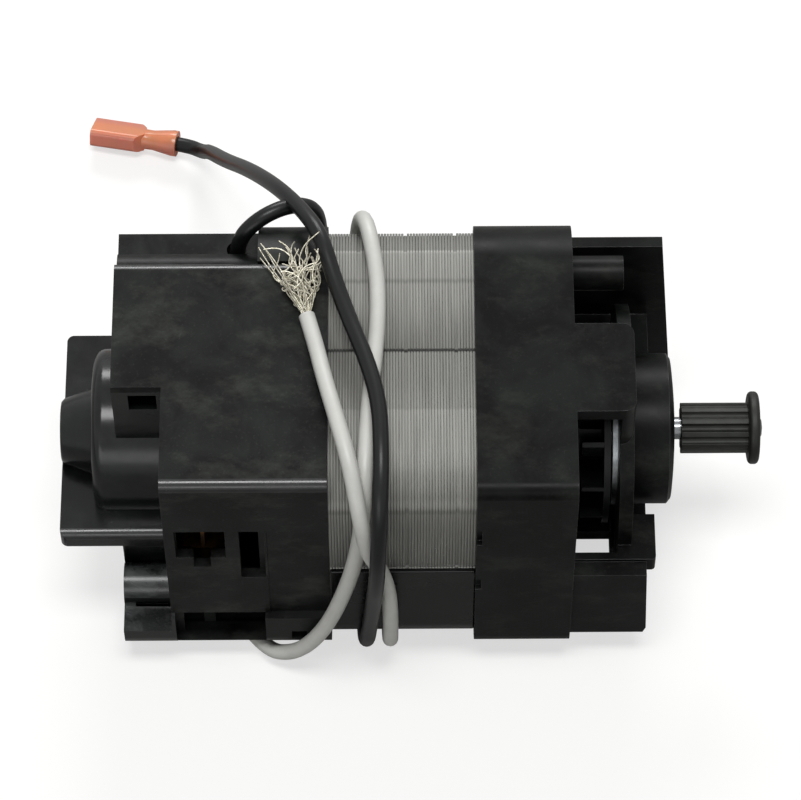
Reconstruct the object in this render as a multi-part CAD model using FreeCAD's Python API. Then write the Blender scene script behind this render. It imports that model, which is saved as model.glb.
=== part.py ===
"""Vacuum power nozzle motor: a universal brush motor with a belt pulley, lying on its base.

Millimetres. X runs along the shaft towards the pulley, Z is up. The origin is on the shaft's axis,
in the middle of the round boss at the drive end.
"""
import FreeCAD, Part
import math
import os

Vector = FreeCAD.Vector

# Lengths along the shaft
BOSS_LENGTH = 8.8
END_WALL = 2.9
FAN_BAY = 9.4
DRIVE_FLANGE_DEPTH = 20.5
STACK_LENGTH = 30.5
COMMUTATOR_FLANGE_DEPTH = 14.6
COMMUTATOR_BODY_LENGTH = 44.4
NOTCH_LENGTH = 10.4
REAR_CYLINDER_OVERHANG = 5.5
NOSE_LENGTH = 7.1

# Housings
HOUSING_HALF = 35.0
HOUSING_WALL = 2.4
SEAT_WIDTH = 4.0
SEAT_DEPTH = 3.0
BACK_TOP_RADIUS = 13.5
FRONT_TOP_RADIUS = 3.0
BOTTOM_RADIUS = 7.0
BOSS_RADIUS = 16.0
BOSS_CROWN = 0.9
BOSS_RIM = 1.0
MOUNT_RING = 3.2
END_PLATE_REACH = 5.2
BACK_WALL_TOP = 24.0
BACK_WALL_FOOT = -24.0
END_DISC_RADIUS = 26.5
FAN_INLET_RADIUS = 17.0
PLATE_TOP = -3.4
PLATE_THICKNESS = 4.7
TONGUE_FRONT = -23.4
TONGUE_BACK = 25.7
REAR_CYLINDER_RADIUS = 17.5
REAR_CYLINDER_WALL = 3.0
NOSE_ROOT_RADIUS = 9.5
NOSE_TIP_RADIUS = 7.0
FOOT_HEIGHT = 3.9
SLIM = 1.6
LOW_LIP_TOP = -25.0
LOW_WALL = -20.0

# Top cover
COVER_WALL = 2.2
COVER_RISE = 0.5
COVER_BACK = 20.5
SKIRT_INSET = 1.5
SKIRT_BOTTOM = -19.4
NOTCH_BACK = -9.9
LEDGE_DROP = 10.0
WINDOW_TOP = 16.7

# Stator
STACK_HALF = 33.0
STACK_CORNER = 9.0
STACK_BORE = 17.9
YOKE_BORE_RADIUS = 27.0
POLE_HALF_WIDTH = 9.5
POLE_SHOE = 2.9
POLE_HALF_ANGLE = 62.0
CENTRE_GROOVE = 0.9
SHEET_STEPS = 3
SHEET_STEP_DEPTH = 0.35
SHEET_STEP_WIDTH = 0.7
TRAY_WALL = 1.1
TRAY_TOP = -0.5
BOLT_CENTRE = 24.0
BOLT_RADIUS = 1.9
BOLT_HEAD_RADIUS = 3.1
BOLT_HEAD_HEIGHT = 2.6
BOLT_BOSS_RADIUS = 4.5
BOLT_SLOT = 1.0
COIL_OVERHANG = 9.0
COIL_END_WIDTH = 5.6
COIL_DEPTH = 5.2
COIL_LOW_ANGLE = 33.0
COIL_HIGH_ANGLE = 77.0
INSULATOR_THICKNESS = 1.5

# Rotor
ARMATURE_RADIUS = 17.5
ARMATURE_SLOTS = 12
TOOTH_TIP = 1.6
SLOT_OPENING = 1.8
SLOT_WIDTH = 4.4
SLOT_FLOOR_RADIUS = 9.4
WINDING_OVERHANG = 10.0
WINDING_RADIUS = 16.4
SHAFT_RADIUS = 4.0
SHAFT_END_RADIUS = 3.0
SHAFT_NECK_RADIUS = 2.38
COMMUTATOR_RADIUS = 11.0
COMMUTATOR_LENGTH = 12.0
COMMUTATOR_BARS = 24
RISER_RADIUS = 12.6
RISER_LENGTH = 1.6
BAR_GAP = 0.5
HUB_RADIUS = 7.6
FAN_RADIUS = 20.0
FAN_LENGTH = 6.0
FAN_BLADES = 12
FAN_HUB_RADIUS = 8.0
FAN_BACK_GAP = 1.6
BLADE_THICKNESS = 1.0
PULLEY_TEETH = 12
PULLEY_RADIUS = 5.45
PULLEY_LENGTH = 14.2
PULLEY_FLANGE_RADIUS = 7.75
PULLEY_FLANGE_WIDTH = 2.3
PULLEY_GAP = 1.5
PULLEY_GROOVE_RADIUS = 0.85
SHAFT_TIP = 0.9

# Ball bearing at the drive end
BEARING_RADIUS = 11.0
BEARING_WIDTH = 7.0
BALL_RADIUS = 1.98
BALL_PITCH_RADIUS = 7.5
BALLS = 7
RACE_STEP = 1.35
BALL_PLAY = 0.06
CAGE_WIDTH = 2.6
SHIELD_THICKNESS = 0.3
RETAINER_THICKNESS = 1.0
SCREW_RADIUS = 1.1
SCREW_HEAD_RADIUS = 2.0
SCREW_SPREAD = 13.2

# Bush at the commutator end
BUSH_LENGTH = 9.0
BUSH_RADIUS = 7.0
BUSH_PLAY = 0.03
THRUST_WASHER = 0.8
THRUST_WASHERS = 3
END_PLAY = 0.4

# Brushes
BRUSH_FROM_NOTCH = 7.7
BRUSH_WIDTH = 7.0
BRUSH_HEIGHT = 5.0
BRUSH_PLAY = 0.12
HOLDER_WALL = 0.6
HOLDER_START = 12.9
HOLDER_INSET = 5.4
TAB_WIDTH = 4.8
TAB_HEIGHT = 6.5
TAB_THICKNESS = 0.8
CLIP_FOOT = 0.95
CLIP_WIDTH = 4.4
CLIP_THICKNESS = 0.7
SPRING_ROLL_RADIUS = 3.0
SPRING_ROLL_WALL = 1.4
SPRING_STRIP = 4.4
SPRING_ROOM = 2.6

# Leads
LEAD_RADIUS = 1.7
ARC_SHARE = 0.49
SLEEVE_LENGTH = 20.0
SLEEVE_BARREL_LENGTH = 7.6
SLEEVE_BARREL_RADIUS = 3.0
SLEEVE_SHOULDER = 2.0
SLEEVE_WIDTH = 7.0
SLEEVE_HEIGHT = 4.4
SLEEVE_WALL = 0.7
RECEPTACLE_WIDTH = 5.4
RECEPTACLE_SIDE = 0.3

# Named clearances
PLAY = 0.3
SLIP = 0.1

# Stations along the shaft, from the boss back to the nose
BOSS_ROOT = -BOSS_LENGTH / 2
BOSS_FACE = BOSS_LENGTH / 2
WALL_INNER = BOSS_ROOT - END_WALL
FLANGE_FACE = WALL_INNER - FAN_BAY
STACK_RIGHT = FLANGE_FACE - DRIVE_FLANGE_DEPTH
STACK_LEFT = STACK_RIGHT - STACK_LENGTH
COMMUTATOR_FLANGE = STACK_LEFT - COMMUTATOR_FLANGE_DEPTH
BODY_END = STACK_LEFT - COMMUTATOR_BODY_LENGTH
NOTCH_END = BODY_END + NOTCH_LENGTH
CYLINDER_END = BODY_END - REAR_CYLINDER_OVERHANG
NOSE_TIP = CYLINDER_END - NOSE_LENGTH
FLOOR = -HOUSING_HALF - FOOT_HEIGHT
BRUSH_STATION = NOTCH_END + BRUSH_FROM_NOTCH
COMMUTATOR_LEFT = BRUSH_STATION - COMMUTATOR_LENGTH / 2
PLATE_BOTTOM = PLATE_TOP - PLATE_THICKNESS
COVER_TOP = HOUSING_HALF + COVER_RISE
LEDGE_TOP = COVER_TOP - LEDGE_DROP
SKIRT_FACE = -HOUSING_HALF + SKIRT_INSET
SKIRT_BACK = SKIRT_FACE + 2 * COVER_WALL
HOLDER_END = HOUSING_HALF - HOLDER_INSET
BEYOND = HOUSING_HALF + 5.0


def block(x0, x1, y0, y1, z0, z1):
    """A rectangular block between two corners."""
    return Part.makeBox(x1 - x0, y1 - y0, z1 - z0, Vector(x0, y0, z0))


def rod(radius, x0, x1, y=0.0, z=0.0):
    """A round rod along the shaft's direction."""
    return Part.makeCylinder(radius, x1 - x0, Vector(x0, y, z), Vector(1, 0, 0))


def ring(outer, inner, x0, x1):
    """A flat-ended ring about the shaft."""
    return rod(outer, x0, x1).cut(rod(inner, x0 - 1, x1 + 1))


def spun(profile):
    """A solid turned about the shaft from points (x, radius)."""
    points = [Vector(x, 0, radius) for x, radius in profile]
    face = Part.Face(Part.makePolygon(points + points[:1]))
    return face.revolve(Vector(0, 0, 0), Vector(1, 0, 0), 360)


def turned(shape, degrees):
    """A copy turned about the shaft."""
    copy = shape.copy()
    copy.rotate(Vector(0, 0, 0), Vector(1, 0, 0), degrees)
    return copy


def fused(shapes):
    """One shape from several, with the seams between flush faces removed."""
    return shapes[0].fuse(list(shapes[1:])).removeSplitter()


def on_circle(radius, degrees, x=0.0):
    """A point at an angle from the top of a circle about the shaft."""
    angle = math.radians(degrees)
    return Vector(x, radius * math.sin(angle), radius * math.cos(angle))


def arc_block(outer, inner, low, high, x0, x1):
    """A sector of a ring about the shaft, between two angles from the top."""
    middle = (low + high) / 2
    edges = [
        Part.Arc(on_circle(outer, low, x0), on_circle(outer, middle, x0), on_circle(outer, high, x0)).toShape(),
        Part.makeLine(on_circle(outer, high, x0), on_circle(inner, high, x0)),
        Part.Arc(on_circle(inner, high, x0), on_circle(inner, middle, x0), on_circle(inner, low, x0)).toShape(),
        Part.makeLine(on_circle(inner, low, x0), on_circle(outer, low, x0)),
    ]
    return Part.Face(Part.Wire(edges)).extrude(Vector(x1 - x0, 0, 0))


def square_prism(x0, x1, half, back_top, front_top, bottom):
    """A prism along the shaft, square in section, with rounded corners."""
    corners = [(1, 1, back_top), (-1, 1, front_top), (-1, -1, bottom), (1, -1, bottom)]
    edges = []
    ends = []
    for side_y, side_z, radius in corners:
        flat = half - radius
        on_side = Vector(x0, side_y * half, side_z * flat)
        on_top = Vector(x0, side_y * flat, side_z * half)
        reach = flat + radius / math.sqrt(2)
        middle = Vector(x0, side_y * reach, side_z * reach)
        first, last = (on_side, on_top) if side_y * side_z > 0 else (on_top, on_side)
        edges.append(Part.Arc(first, middle, last).toShape())
        ends.append((first, last))
    for index in range(4):
        edges.append(Part.makeLine(ends[index][1], ends[(index + 1) % 4][0]))
    return Part.Face(Part.Wire(Part.__sortEdges__(edges))).extrude(Vector(x1 - x0, 0, 0))


def housing_prism(x0, x1, inset=0.0):
    """The housings' square outline, or the same drawn in by a wall."""
    radii = [max(radius - inset, 0.8) for radius in (BACK_TOP_RADIUS, FRONT_TOP_RADIUS, BOTTOM_RADIUS)]
    return square_prism(x0, x1, HOUSING_HALF - inset, *radii)


def rounded_along_z(shape, radius, test):
    """Rounds the upright edges that a test picks."""
    edges = [edge for edge in shape.Edges if is_along(edge, Vector(0, 0, 1)) and test(edge.CenterOfMass)]
    return shape.makeFillet(radius, edges)


def is_along(edge, direction):
    """Whether an edge is a straight line in a direction."""
    if edge.Curve.TypeId != "Part::GeomLine":
        return False
    return abs(abs(edge.tangentAt(edge.FirstParameter).dot(direction)) - 1) < 1e-6


def feet(x0, x1):
    """Two low pads under a housing, clear of the leads that pass beneath the stack."""
    pads = []
    for side in (-1, 1):
        pad = block(x0, x1, side * 17.0 - 7.5, side * 17.0 + 7.5, FLOOR, -HOUSING_HALF + HOUSING_WALL / 2)
        pads.append(rounded_along_z(pad, 2.0, lambda middle: True))
    return pads


def bolt_places():
    """The two opposite corners where the long bolts run."""
    return [(BOLT_CENTRE, BOLT_CENTRE), (-BOLT_CENTRE, -BOLT_CENTRE)]


def drive_end_housing():
    """End housing with the fan bay, the end wall and the boss that carries the ball bearing."""
    cavity_end = FLANGE_FACE - HOUSING_WALL
    flange = housing_prism(STACK_RIGHT, FLANGE_FACE)
    flange = flange.cut(housing_prism(STACK_RIGHT - 1, STACK_RIGHT + SEAT_DEPTH, SEAT_WIDTH))
    flange = flange.cut(housing_prism(STACK_RIGHT + SEAT_DEPTH, cavity_end, HOUSING_WALL))
    flange = flange.cut(rod(FAN_INLET_RADIUS, cavity_end - 1, FLANGE_FACE + 1))
    for low, high in ((13.2, 19.2), (-6.4, -2.2)):
        flange = flange.cut(block(STACK_RIGHT - 1, STACK_RIGHT + 1.2, -HOUSING_HALF - 1, -HOUSING_HALF + 1.2,
                                  low, high))
    wall = rod(END_DISC_RADIUS, WALL_INNER, BOSS_ROOT)
    arm_end = BOSS_ROOT - 0.1
    plate_end = BOSS_ROOT + END_PLATE_REACH
    top_arm = block(FLANGE_FACE - 1, arm_end, -15.8, 5.1, HOUSING_HALF - 3.5, HOUSING_HALF)
    top_leg = block(WALL_INNER, arm_end, -15.8, 5.1, 20.0, HOUSING_HALF)
    arm = rounded_along_z(fused([top_arm, top_leg]), 2.5, lambda middle: middle.x > arm_end - 0.5)
    low_arm = block(FLANGE_FACE - 1, arm_end, -8, 8, -HOUSING_HALF, -HOUSING_HALF + 3.5)
    low_leg = block(WALL_INNER, arm_end, -8, 8, -HOUSING_HALF, -20.0)
    base = block(WALL_INNER, plate_end, -12.0, 12.0, -HOUSING_HALF, -HOUSING_HALF + 3.5)
    plate = block(FLANGE_FACE - 1, plate_end, -29.7, 31.0, PLATE_BOTTOM, PLATE_TOP)
    plate = rounded_along_z(plate, 0.9, lambda middle: middle.x > 0 and middle.y < 0)
    plate = plate.cut(block(FLANGE_FACE - 2, WALL_INNER, -28.0, 28.0, PLATE_BOTTOM - 1, PLATE_TOP + 1))
    plate = plate.cut(rod(BOSS_RADIUS + MOUNT_RING, BOSS_ROOT, BOSS_FACE))
    bosses = []
    for y, z in bolt_places():
        bosses.append(rod(BOLT_BOSS_RADIUS, STACK_RIGHT, FLANGE_FACE, y, z))
        bosses.append(rod(BOLT_BOSS_RADIUS - 0.8, FLANGE_FACE - 0.5, FLANGE_FACE + 11.0, y, z))
    crown = boss_profile()
    body = fused([flange, wall, arm, low_arm, low_leg, base, back_wall(), front_wall(), plate, crown] + bosses
                 + feet(STACK_RIGHT + 4, STACK_RIGHT + 16))
    pocket_end = bearing_right() + wave_gap()
    body = body.cut(rod(BEARING_RADIUS + 0.02, WALL_INNER - 1, pocket_end))
    body = body.cut(rod(SHAFT_RADIUS + 2.0, 0, BOSS_FACE + 2))
    for y, z in bolt_places():
        body = body.cut(rod(BOLT_RADIUS + SLIP, STACK_RIGHT - 1, bolt_end() + SLIP, y, z))
    for place in retainer_screw_places():
        body = body.cut(rod(SCREW_RADIUS, WALL_INNER - 1, screw_end() + SLIP, place.y, place.z))
    return body


def upright_wall(outline, low_y, high_y):
    """A wall across the row's Y, from its outline as points (x, z)."""
    points = [Vector(x, low_y, z) for x, z in outline]
    return Part.Face(Part.makePolygon(points + points[:1])).extrude(Vector(0, high_y - low_y, 0))


def back_wall():
    """The upright wall behind the fan bay, wider towards its foot."""
    start = FLANGE_FACE - 1
    return upright_wall([(start, BACK_WALL_FOOT), (6.6, BACK_WALL_FOOT), (2.9, BACK_WALL_TOP),
                         (start, BACK_WALL_TOP)], 30.5, 33.0)


def front_wall():
    """The lower wall in front of the fan bay, with its lower corner cut off."""
    start = FLANGE_FACE - 1
    top = PLATE_TOP - 1.0
    return upright_wall([(start, -30.6), (-0.9, -30.6), (-0.3, -28.6), (-1.2, top), (start, top)], -33.0, -29.2)


def boss_profile():
    """The round boss with its slightly crowned face."""
    start = Vector(BOSS_ROOT - 0.5, 0, 0)
    rim = Vector(BOSS_FACE - BOSS_RIM * 0.8, 0, BOSS_RADIUS)
    shoulder = Vector(BOSS_FACE, 0, BOSS_RADIUS - BOSS_RIM)
    middle = Vector(BOSS_FACE + BOSS_CROWN * 0.75, 0, BOSS_RADIUS / 2)
    top = Vector(BOSS_FACE + BOSS_CROWN, 0, 0)
    edges = [
        Part.makeLine(start, Vector(start.x, 0, BOSS_RADIUS)),
        Part.makeLine(Vector(start.x, 0, BOSS_RADIUS), rim),
        Part.makeLine(rim, shoulder),
        Part.Arc(shoulder, middle, top).toShape(),
        Part.makeLine(top, start),
    ]
    return Part.Face(Part.Wire(edges)).revolve(Vector(0, 0, 0), Vector(1, 0, 0), 360)


def wave_gap():
    """The space for the wave washer behind the bearing."""
    return 0.6


def bearing_right():
    """The ball bearing's face towards the pulley."""
    return WALL_INNER + BEARING_WIDTH


def bolt_end():
    """Where the long bolts end in the drive-end bosses."""
    return FLANGE_FACE + 8.0


def screw_end():
    """Where the bearing retainer's screws end in the end wall."""
    return BOSS_ROOT - 0.4


def retainer_screw_places():
    """The two screws of the bearing retainer, left and right of the shaft."""
    return [Vector(0, side * SCREW_SPREAD, 0) for side in (-1, 1)]


def commutator_end_housing():
    """End housing with the brush compartment, the rear bearing cylinder and the mounting tongue."""
    shell = commutator_shell()
    shell = shell.fuse([rear_cylinder(), tongue(), notch_floor()] + commutator_bosses() + brush_shelves()
                       + feet(STACK_LEFT - 17, STACK_LEFT - 6) + [white_lead_foot()])
    shell = shell.cut(rear_pockets())
    for y, z in bolt_places():
        shell = shell.cut(rod(BOLT_RADIUS + SLIP, BODY_END, STACK_LEFT + 1, y, z))
        shell = shell.cut(rod(BOLT_HEAD_RADIUS + SLIP, BODY_END - 1, BODY_END + BOLT_HEAD_HEIGHT + 0.4, y, z))
    start = Vector(*BLACK_ROUTE[0])
    way_out = Vector(*BLACK_ROUTE[1]) - start
    hole = Part.makeCylinder(LEAD_RADIUS + PLAY, 12, start - way_out * 0.1, way_out)
    return shell.cut(hole).removeSplitter()


def commutator_shell():
    """The box of the brush compartment with its flange, open at the stack and under the top cover."""
    outer = housing_prism(BODY_END, STACK_LEFT)
    slim = block(BODY_END - 1, COMMUTATOR_FLANGE, HOUSING_HALF - SLIM, BEYOND, -BEYOND, BEYOND)
    low_ledge = block(BODY_END - 1, COMMUTATOR_FLANGE, COVER_BACK + SLIP, BEYOND, LEDGE_TOP, BEYOND)
    under_cover = block(BODY_END - 1, STACK_LEFT + 1, -BEYOND, COVER_BACK + SLIP, COVER_TOP - COVER_WALL, BEYOND)
    behind_skirt = block(BODY_END - 1, STACK_LEFT + 1, -BEYOND, SKIRT_FACE + COVER_WALL, SKIRT_BOTTOM - SLIP, BEYOND)
    outer = outer.cut([slim, low_ledge, under_cover, behind_skirt])
    left = BODY_END + HOUSING_WALL
    main = block(left, STACK_LEFT - SEAT_DEPTH, SKIRT_BACK, HOUSING_HALF - SLIM - HOUSING_WALL,
                 -HOUSING_HALF + HOUSING_WALL, LEDGE_TOP - HOUSING_WALL)
    upper = block(left, STACK_LEFT - SEAT_DEPTH, SKIRT_BACK, COVER_BACK - HOUSING_WALL,
                  LEDGE_TOP - HOUSING_WALL - 1, COVER_TOP - COVER_WALL - HOUSING_WALL)
    low_corner = housing_prism(left, STACK_LEFT - SEAT_DEPTH, HOUSING_WALL)
    seat = housing_prism(STACK_LEFT - SEAT_DEPTH - 1, STACK_LEFT + 1, SEAT_WIDTH)
    seat = seat.cut(block(BODY_END, STACK_LEFT + 2, -BEYOND, SKIRT_BACK + 0.4, SKIRT_BOTTOM, BEYOND))
    shell = outer.cut(main.common(low_corner)).cut(upper.common(low_corner)).cut(seat)
    corner = block(BODY_END - 1, NOTCH_END, -BEYOND, NOTCH_BACK, PLATE_BOTTOM + 1, BEYOND)
    over_lip = block(BODY_END - 1, NOTCH_END, -BEYOND, LOW_WALL, LOW_LIP_TOP, PLATE_BOTTOM + 1)
    opening = block(NOTCH_END + 0.8, COMMUTATOR_FLANGE + 0.6, -BEYOND, SKIRT_BACK + 1, -32.0, SKIRT_BOTTOM)
    slit = block(STACK_LEFT - 8.5, STACK_LEFT - 5.3, -BEYOND, SKIRT_BACK + 1, -29.0, -25.5)
    shell = shell.cut([corner, over_lip, opening, slit])
    notch_side = block(NOTCH_END, NOTCH_END + HOUSING_WALL, SKIRT_FACE + COVER_WALL, NOTCH_BACK,
                       -HOUSING_HALF + HOUSING_WALL, COVER_TOP - COVER_WALL)
    notch_back = block(BODY_END, NOTCH_END + HOUSING_WALL, NOTCH_BACK, NOTCH_BACK + HOUSING_WALL,
                       PLATE_BOTTOM, COVER_TOP - COVER_WALL)
    low_back = block(BODY_END, NOTCH_END + HOUSING_WALL, LOW_WALL, LOW_WALL + HOUSING_WALL,
                     -HOUSING_HALF + HOUSING_WALL / 2, PLATE_BOTTOM)
    brush_bay = block(NOTCH_END + HOUSING_WALL, COMMUTATOR_FLANGE, SKIRT_FACE - 1,
                      SKIRT_BACK + 1, -6.6, COVER_TOP - 2 * COVER_WALL - 1)
    shell = shell.cut(brush_bay)
    vent = block(BODY_END + 3.4, NOTCH_END - 1.2, NOTCH_BACK - 1, NOTCH_BACK + HOUSING_WALL + 1, 26.4, 32.0)
    return shell.fuse([notch_side, notch_back, low_back]).cut(vent)


def notch_floor():
    """The floor of the notch, in line with the tongue."""
    return block(BODY_END - 1, NOTCH_END + HOUSING_WALL, TONGUE_FRONT, NOTCH_BACK + 1,
                 PLATE_BOTTOM, PLATE_TOP)


def tongue():
    """The flat mounting tongue beside the nose."""
    plate = block(NOSE_TIP, BODY_END + 1, TONGUE_FRONT, TONGUE_BACK, PLATE_BOTTOM, PLATE_TOP)
    return rounded_along_z(plate, 1.5, lambda middle: middle.x < NOSE_TIP + 0.5)


def rear_cylinder():
    """The round rear bearing carrier with its cone-shaped nose."""
    carrier = rod(REAR_CYLINDER_RADIUS, CYLINDER_END, NOTCH_END + HOUSING_WALL)
    rim = [edge for edge in carrier.Edges if abs(edge.CenterOfMass.x - CYLINDER_END) < 0.01]
    carrier = carrier.makeFillet(2.6, rim)
    nose = spun([(CYLINDER_END + 1, 0), (CYLINDER_END + 1, NOSE_ROOT_RADIUS),
                 (CYLINDER_END, NOSE_ROOT_RADIUS), (NOSE_TIP + 0.6, NOSE_TIP_RADIUS),
                 (NOSE_TIP, NOSE_TIP_RADIUS - 0.6), (NOSE_TIP, 0)])
    return carrier.fuse(nose)


def bush_left():
    """The rear bush's outer end."""
    return CYLINDER_END + 2.6


def bush_right():
    """The rear bush's end towards the commutator."""
    return bush_left() + BUSH_LENGTH


def shaft_step():
    """The shoulder that the thrust washers seat on."""
    return bush_right() + END_PLAY + THRUST_WASHERS * THRUST_WASHER


def rear_pockets():
    """The bush's seat, the felt's pocket and the blind hole for the shaft's end."""
    seat_end = bush_left() + 3.8
    seat = rod(BUSH_RADIUS + SLIP, bush_left(), seat_end + 0.1)
    pocket = rod(REAR_CYLINDER_RADIUS - REAR_CYLINDER_WALL, seat_end, NOTCH_END + HOUSING_WALL + 1)
    blind = rod(SHAFT_END_RADIUS + 1.2, NOSE_TIP + 2.2, bush_left() + 0.1)
    return [seat, pocket, blind]


def commutator_bosses():
    """Bolt bosses along the brush compartment."""
    return [rod(BOLT_BOSS_RADIUS, BODY_END, STACK_LEFT, y, z) for y, z in bolt_places()]


def brush_shelves():
    """A shelf under each brush holder, out from the housing's walls."""
    half = BRUSH_WIDTH / 2 + HOLDER_WALL + 3.2
    top = -BRUSH_HEIGHT / 2 - BRUSH_PLAY - HOLDER_WALL
    front = block(BRUSH_STATION - half, BRUSH_STATION + half, SKIRT_FACE + COVER_WALL + 0.5, -HOLDER_START - 3,
                  top - 2.4, top)
    back = block(BRUSH_STATION - half, BRUSH_STATION + half, HOLDER_START + 3, HOUSING_HALF - 2.5, top - 2.4, top)
    web_half = HOUSING_WALL / 2
    foot = -HOUSING_HALF + HOUSING_WALL / 2
    webs = [block(BRUSH_STATION - web_half, BRUSH_STATION + web_half, SKIRT_BACK, LOW_WALL, foot, top - 1),
            block(BRUSH_STATION - web_half, BRUSH_STATION + web_half, -LOW_WALL, HOUSING_HALF - 2.5, foot, top - 1)]
    return [front, back] + webs


def white_lead_foot():
    """A low block under the housing that the white lead leaves by its front face."""
    x, y, z = WHITE_ROUTE[0]
    foot = block(x - 5.0, x + 5.0, y - 2.0, y + 7.0, FLOOR + 0.2, -HOUSING_HALF + HOUSING_WALL / 2)
    way_out = Vector(*WHITE_ROUTE[1]) - Vector(x, y, z)
    return foot.cut(Part.makeCylinder(LEAD_RADIUS + PLAY, 12, Vector(x, y, z), way_out))


def terminal_cover():
    """Top cover of the brush compartment, with its front skirt and the two brush windows."""
    plate = block(BODY_END, STACK_LEFT, SKIRT_FACE, COVER_BACK, COVER_TOP - COVER_WALL, COVER_TOP)
    plate = plate.cut(block(BODY_END - 1, NOTCH_END, SKIRT_FACE - 1, NOTCH_BACK, 0, COVER_TOP + 1))
    skirt = block(NOTCH_END, STACK_LEFT, SKIRT_FACE, SKIRT_FACE + COVER_WALL, SKIRT_BOTTOM, COVER_TOP)
    cover = fused([plate, skirt])
    front = [edge for edge in cover.Edges if is_along(edge, Vector(1, 0, 0))
             and abs(edge.CenterOfMass.y - SKIRT_FACE) < 0.01 and abs(edge.CenterOfMass.z - COVER_TOP) < 0.01]
    cover = cover.makeFillet(1.4, front)
    back = [edge for edge in cover.Edges if is_along(edge, Vector(1, 0, 0))
            and abs(edge.CenterOfMass.y - COVER_BACK) < 0.01 and abs(edge.CenterOfMass.z - COVER_TOP) < 0.01]
    cover = cover.makeFillet(0.9, back)
    depth = (SKIRT_FACE - 1, SKIRT_FACE + COVER_WALL + 1)
    brush_window = block(BRUSH_STATION - 5.5, BRUSH_STATION + 4.9, *depth, 5.5, WINDOW_TOP)
    brush_stem = block(BRUSH_STATION - 1.9, BRUSH_STATION + 1.7, *depth, 1.4, 6.0)
    side_window = block(BRUSH_STATION + 7.8, BRUSH_STATION + 13.0, *depth, -3.3, WINDOW_TOP)
    step = block(BRUSH_STATION + 13.4, STACK_LEFT + 1, SKIRT_FACE - 1, SKIRT_FACE + 0.4, SKIRT_BOTTOM - 1,
                 WINDOW_TOP)
    return cover.cut([brush_window, brush_stem, side_window, step])


def stator_stack():
    """The laminated stack: a square yoke with two poles and the armature's bore."""
    yoke = square_prism(STACK_LEFT, STACK_RIGHT, STACK_HALF, STACK_CORNER, STACK_CORNER, STACK_CORNER)
    yoke = yoke.cut(rod(YOKE_BORE_RADIUS, STACK_LEFT - 1, STACK_RIGHT + 1))
    poles = []
    for side in (0, 180):
        body = block(STACK_LEFT, STACK_RIGHT, -POLE_HALF_WIDTH, POLE_HALF_WIDTH, STACK_BORE - 1,
                     YOKE_BORE_RADIUS + 0.5)
        shoe = arc_block(STACK_BORE + POLE_SHOE, STACK_BORE - 1, -POLE_HALF_ANGLE, POLE_HALF_ANGLE,
                         STACK_LEFT, STACK_RIGHT)
        poles += [turned(body, side), turned(shoe, side)]
    stack = fused([yoke] + poles).cut(rod(STACK_BORE, STACK_LEFT - 1, STACK_RIGHT + 1))
    for side in (0, 90, 180, 270):
        groove = block(STACK_LEFT - 1, STACK_RIGHT + 1, -CENTRE_GROOVE / 2, CENTRE_GROOVE / 2,
                       STACK_HALF - CENTRE_GROOVE, STACK_HALF + 1)
        stack = stack.cut(turned(groove, side))
    for y, z in bolt_places():
        stack = stack.cut(rod(BOLT_RADIUS + SLIP, STACK_LEFT - 1, STACK_RIGHT + 1, y, z))
    return stack.cut(sheet_steps())


def sheet_steps():
    """Shallow grooves across the stack's sides, where sheets lie a little further in."""
    grooves = []
    for index in range(SHEET_STEPS):
        start = STACK_LEFT + STACK_LENGTH * (index + 0.6) / SHEET_STEPS
        end = start + SHEET_STEP_WIDTH
        around = square_prism(start, end, STACK_HALF + 1, *[STACK_CORNER + 1] * 3)
        kept = square_prism(start, end, STACK_HALF - SHEET_STEP_DEPTH, *[STACK_CORNER - SHEET_STEP_DEPTH] * 3)
        below = block(start, end, -BEYOND, BEYOND, -BEYOND, TRAY_TOP)
        grooves.append(around.cut(kept).cut(below))
    return grooves


def lower_stack_cover():
    """Thin plastic tray round the lower half of the stack."""
    half = STACK_HALF + TRAY_WALL
    corner = STACK_CORNER + TRAY_WALL
    left = STACK_LEFT + SLIP
    right = STACK_RIGHT - SLIP
    tray = square_prism(left, right, half, corner, corner, corner)
    tray = tray.cut(square_prism(left - 1, right + 1, STACK_HALF, STACK_CORNER, STACK_CORNER, STACK_CORNER))
    return tray.cut(block(left - 1, right + 1, -half - 1, half + 1, TRAY_TOP, half + 1))


def field_coil(side):
    """One saddle-shaped field coil round its pole, with its end turns beyond the stack."""
    inner = STACK_BORE + POLE_SHOE + PLAY
    outer = inner + COIL_DEPTH
    left = STACK_LEFT - COIL_OVERHANG
    right = STACK_RIGHT + COIL_OVERHANG
    sides = [arc_block(outer, inner, low, high, left, right)
             for low, high in ((COIL_LOW_ANGLE, COIL_HIGH_ANGLE), (-COIL_HIGH_ANGLE, -COIL_LOW_ANGLE))]
    ends = [arc_block(outer, inner, -COIL_HIGH_ANGLE, COIL_HIGH_ANGLE, start, start + COIL_END_WIDTH)
            for start in (left, right - COIL_END_WIDTH)]
    coil = fused(sides + ends)
    corners = [edge for edge in coil.Edges if edge.Curve.TypeId == "Part::GeomCircle"
               and (abs(edge.CenterOfMass.x - left) < 0.01 or abs(edge.CenterOfMass.x - right) < 0.01)]
    return turned(coil.makeChamfer(1.3, corners), side)


def end_insulators():
    """Insulating plates between the stack and the coils' end turns, one at each end."""
    plates = []
    outer = STACK_BORE + POLE_SHOE + COIL_DEPTH + PLAY
    for start in (STACK_LEFT - INSULATOR_THICKNESS, STACK_RIGHT):
        end = start + INSULATOR_THICKNESS
        halves = [arc_block(outer, STACK_BORE, side - COIL_LOW_ANGLE + 1, side + COIL_LOW_ANGLE - 1, start, end)
                  for side in (0, 180)]
        plates += halves
    return Part.makeCompound(plates)


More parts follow.
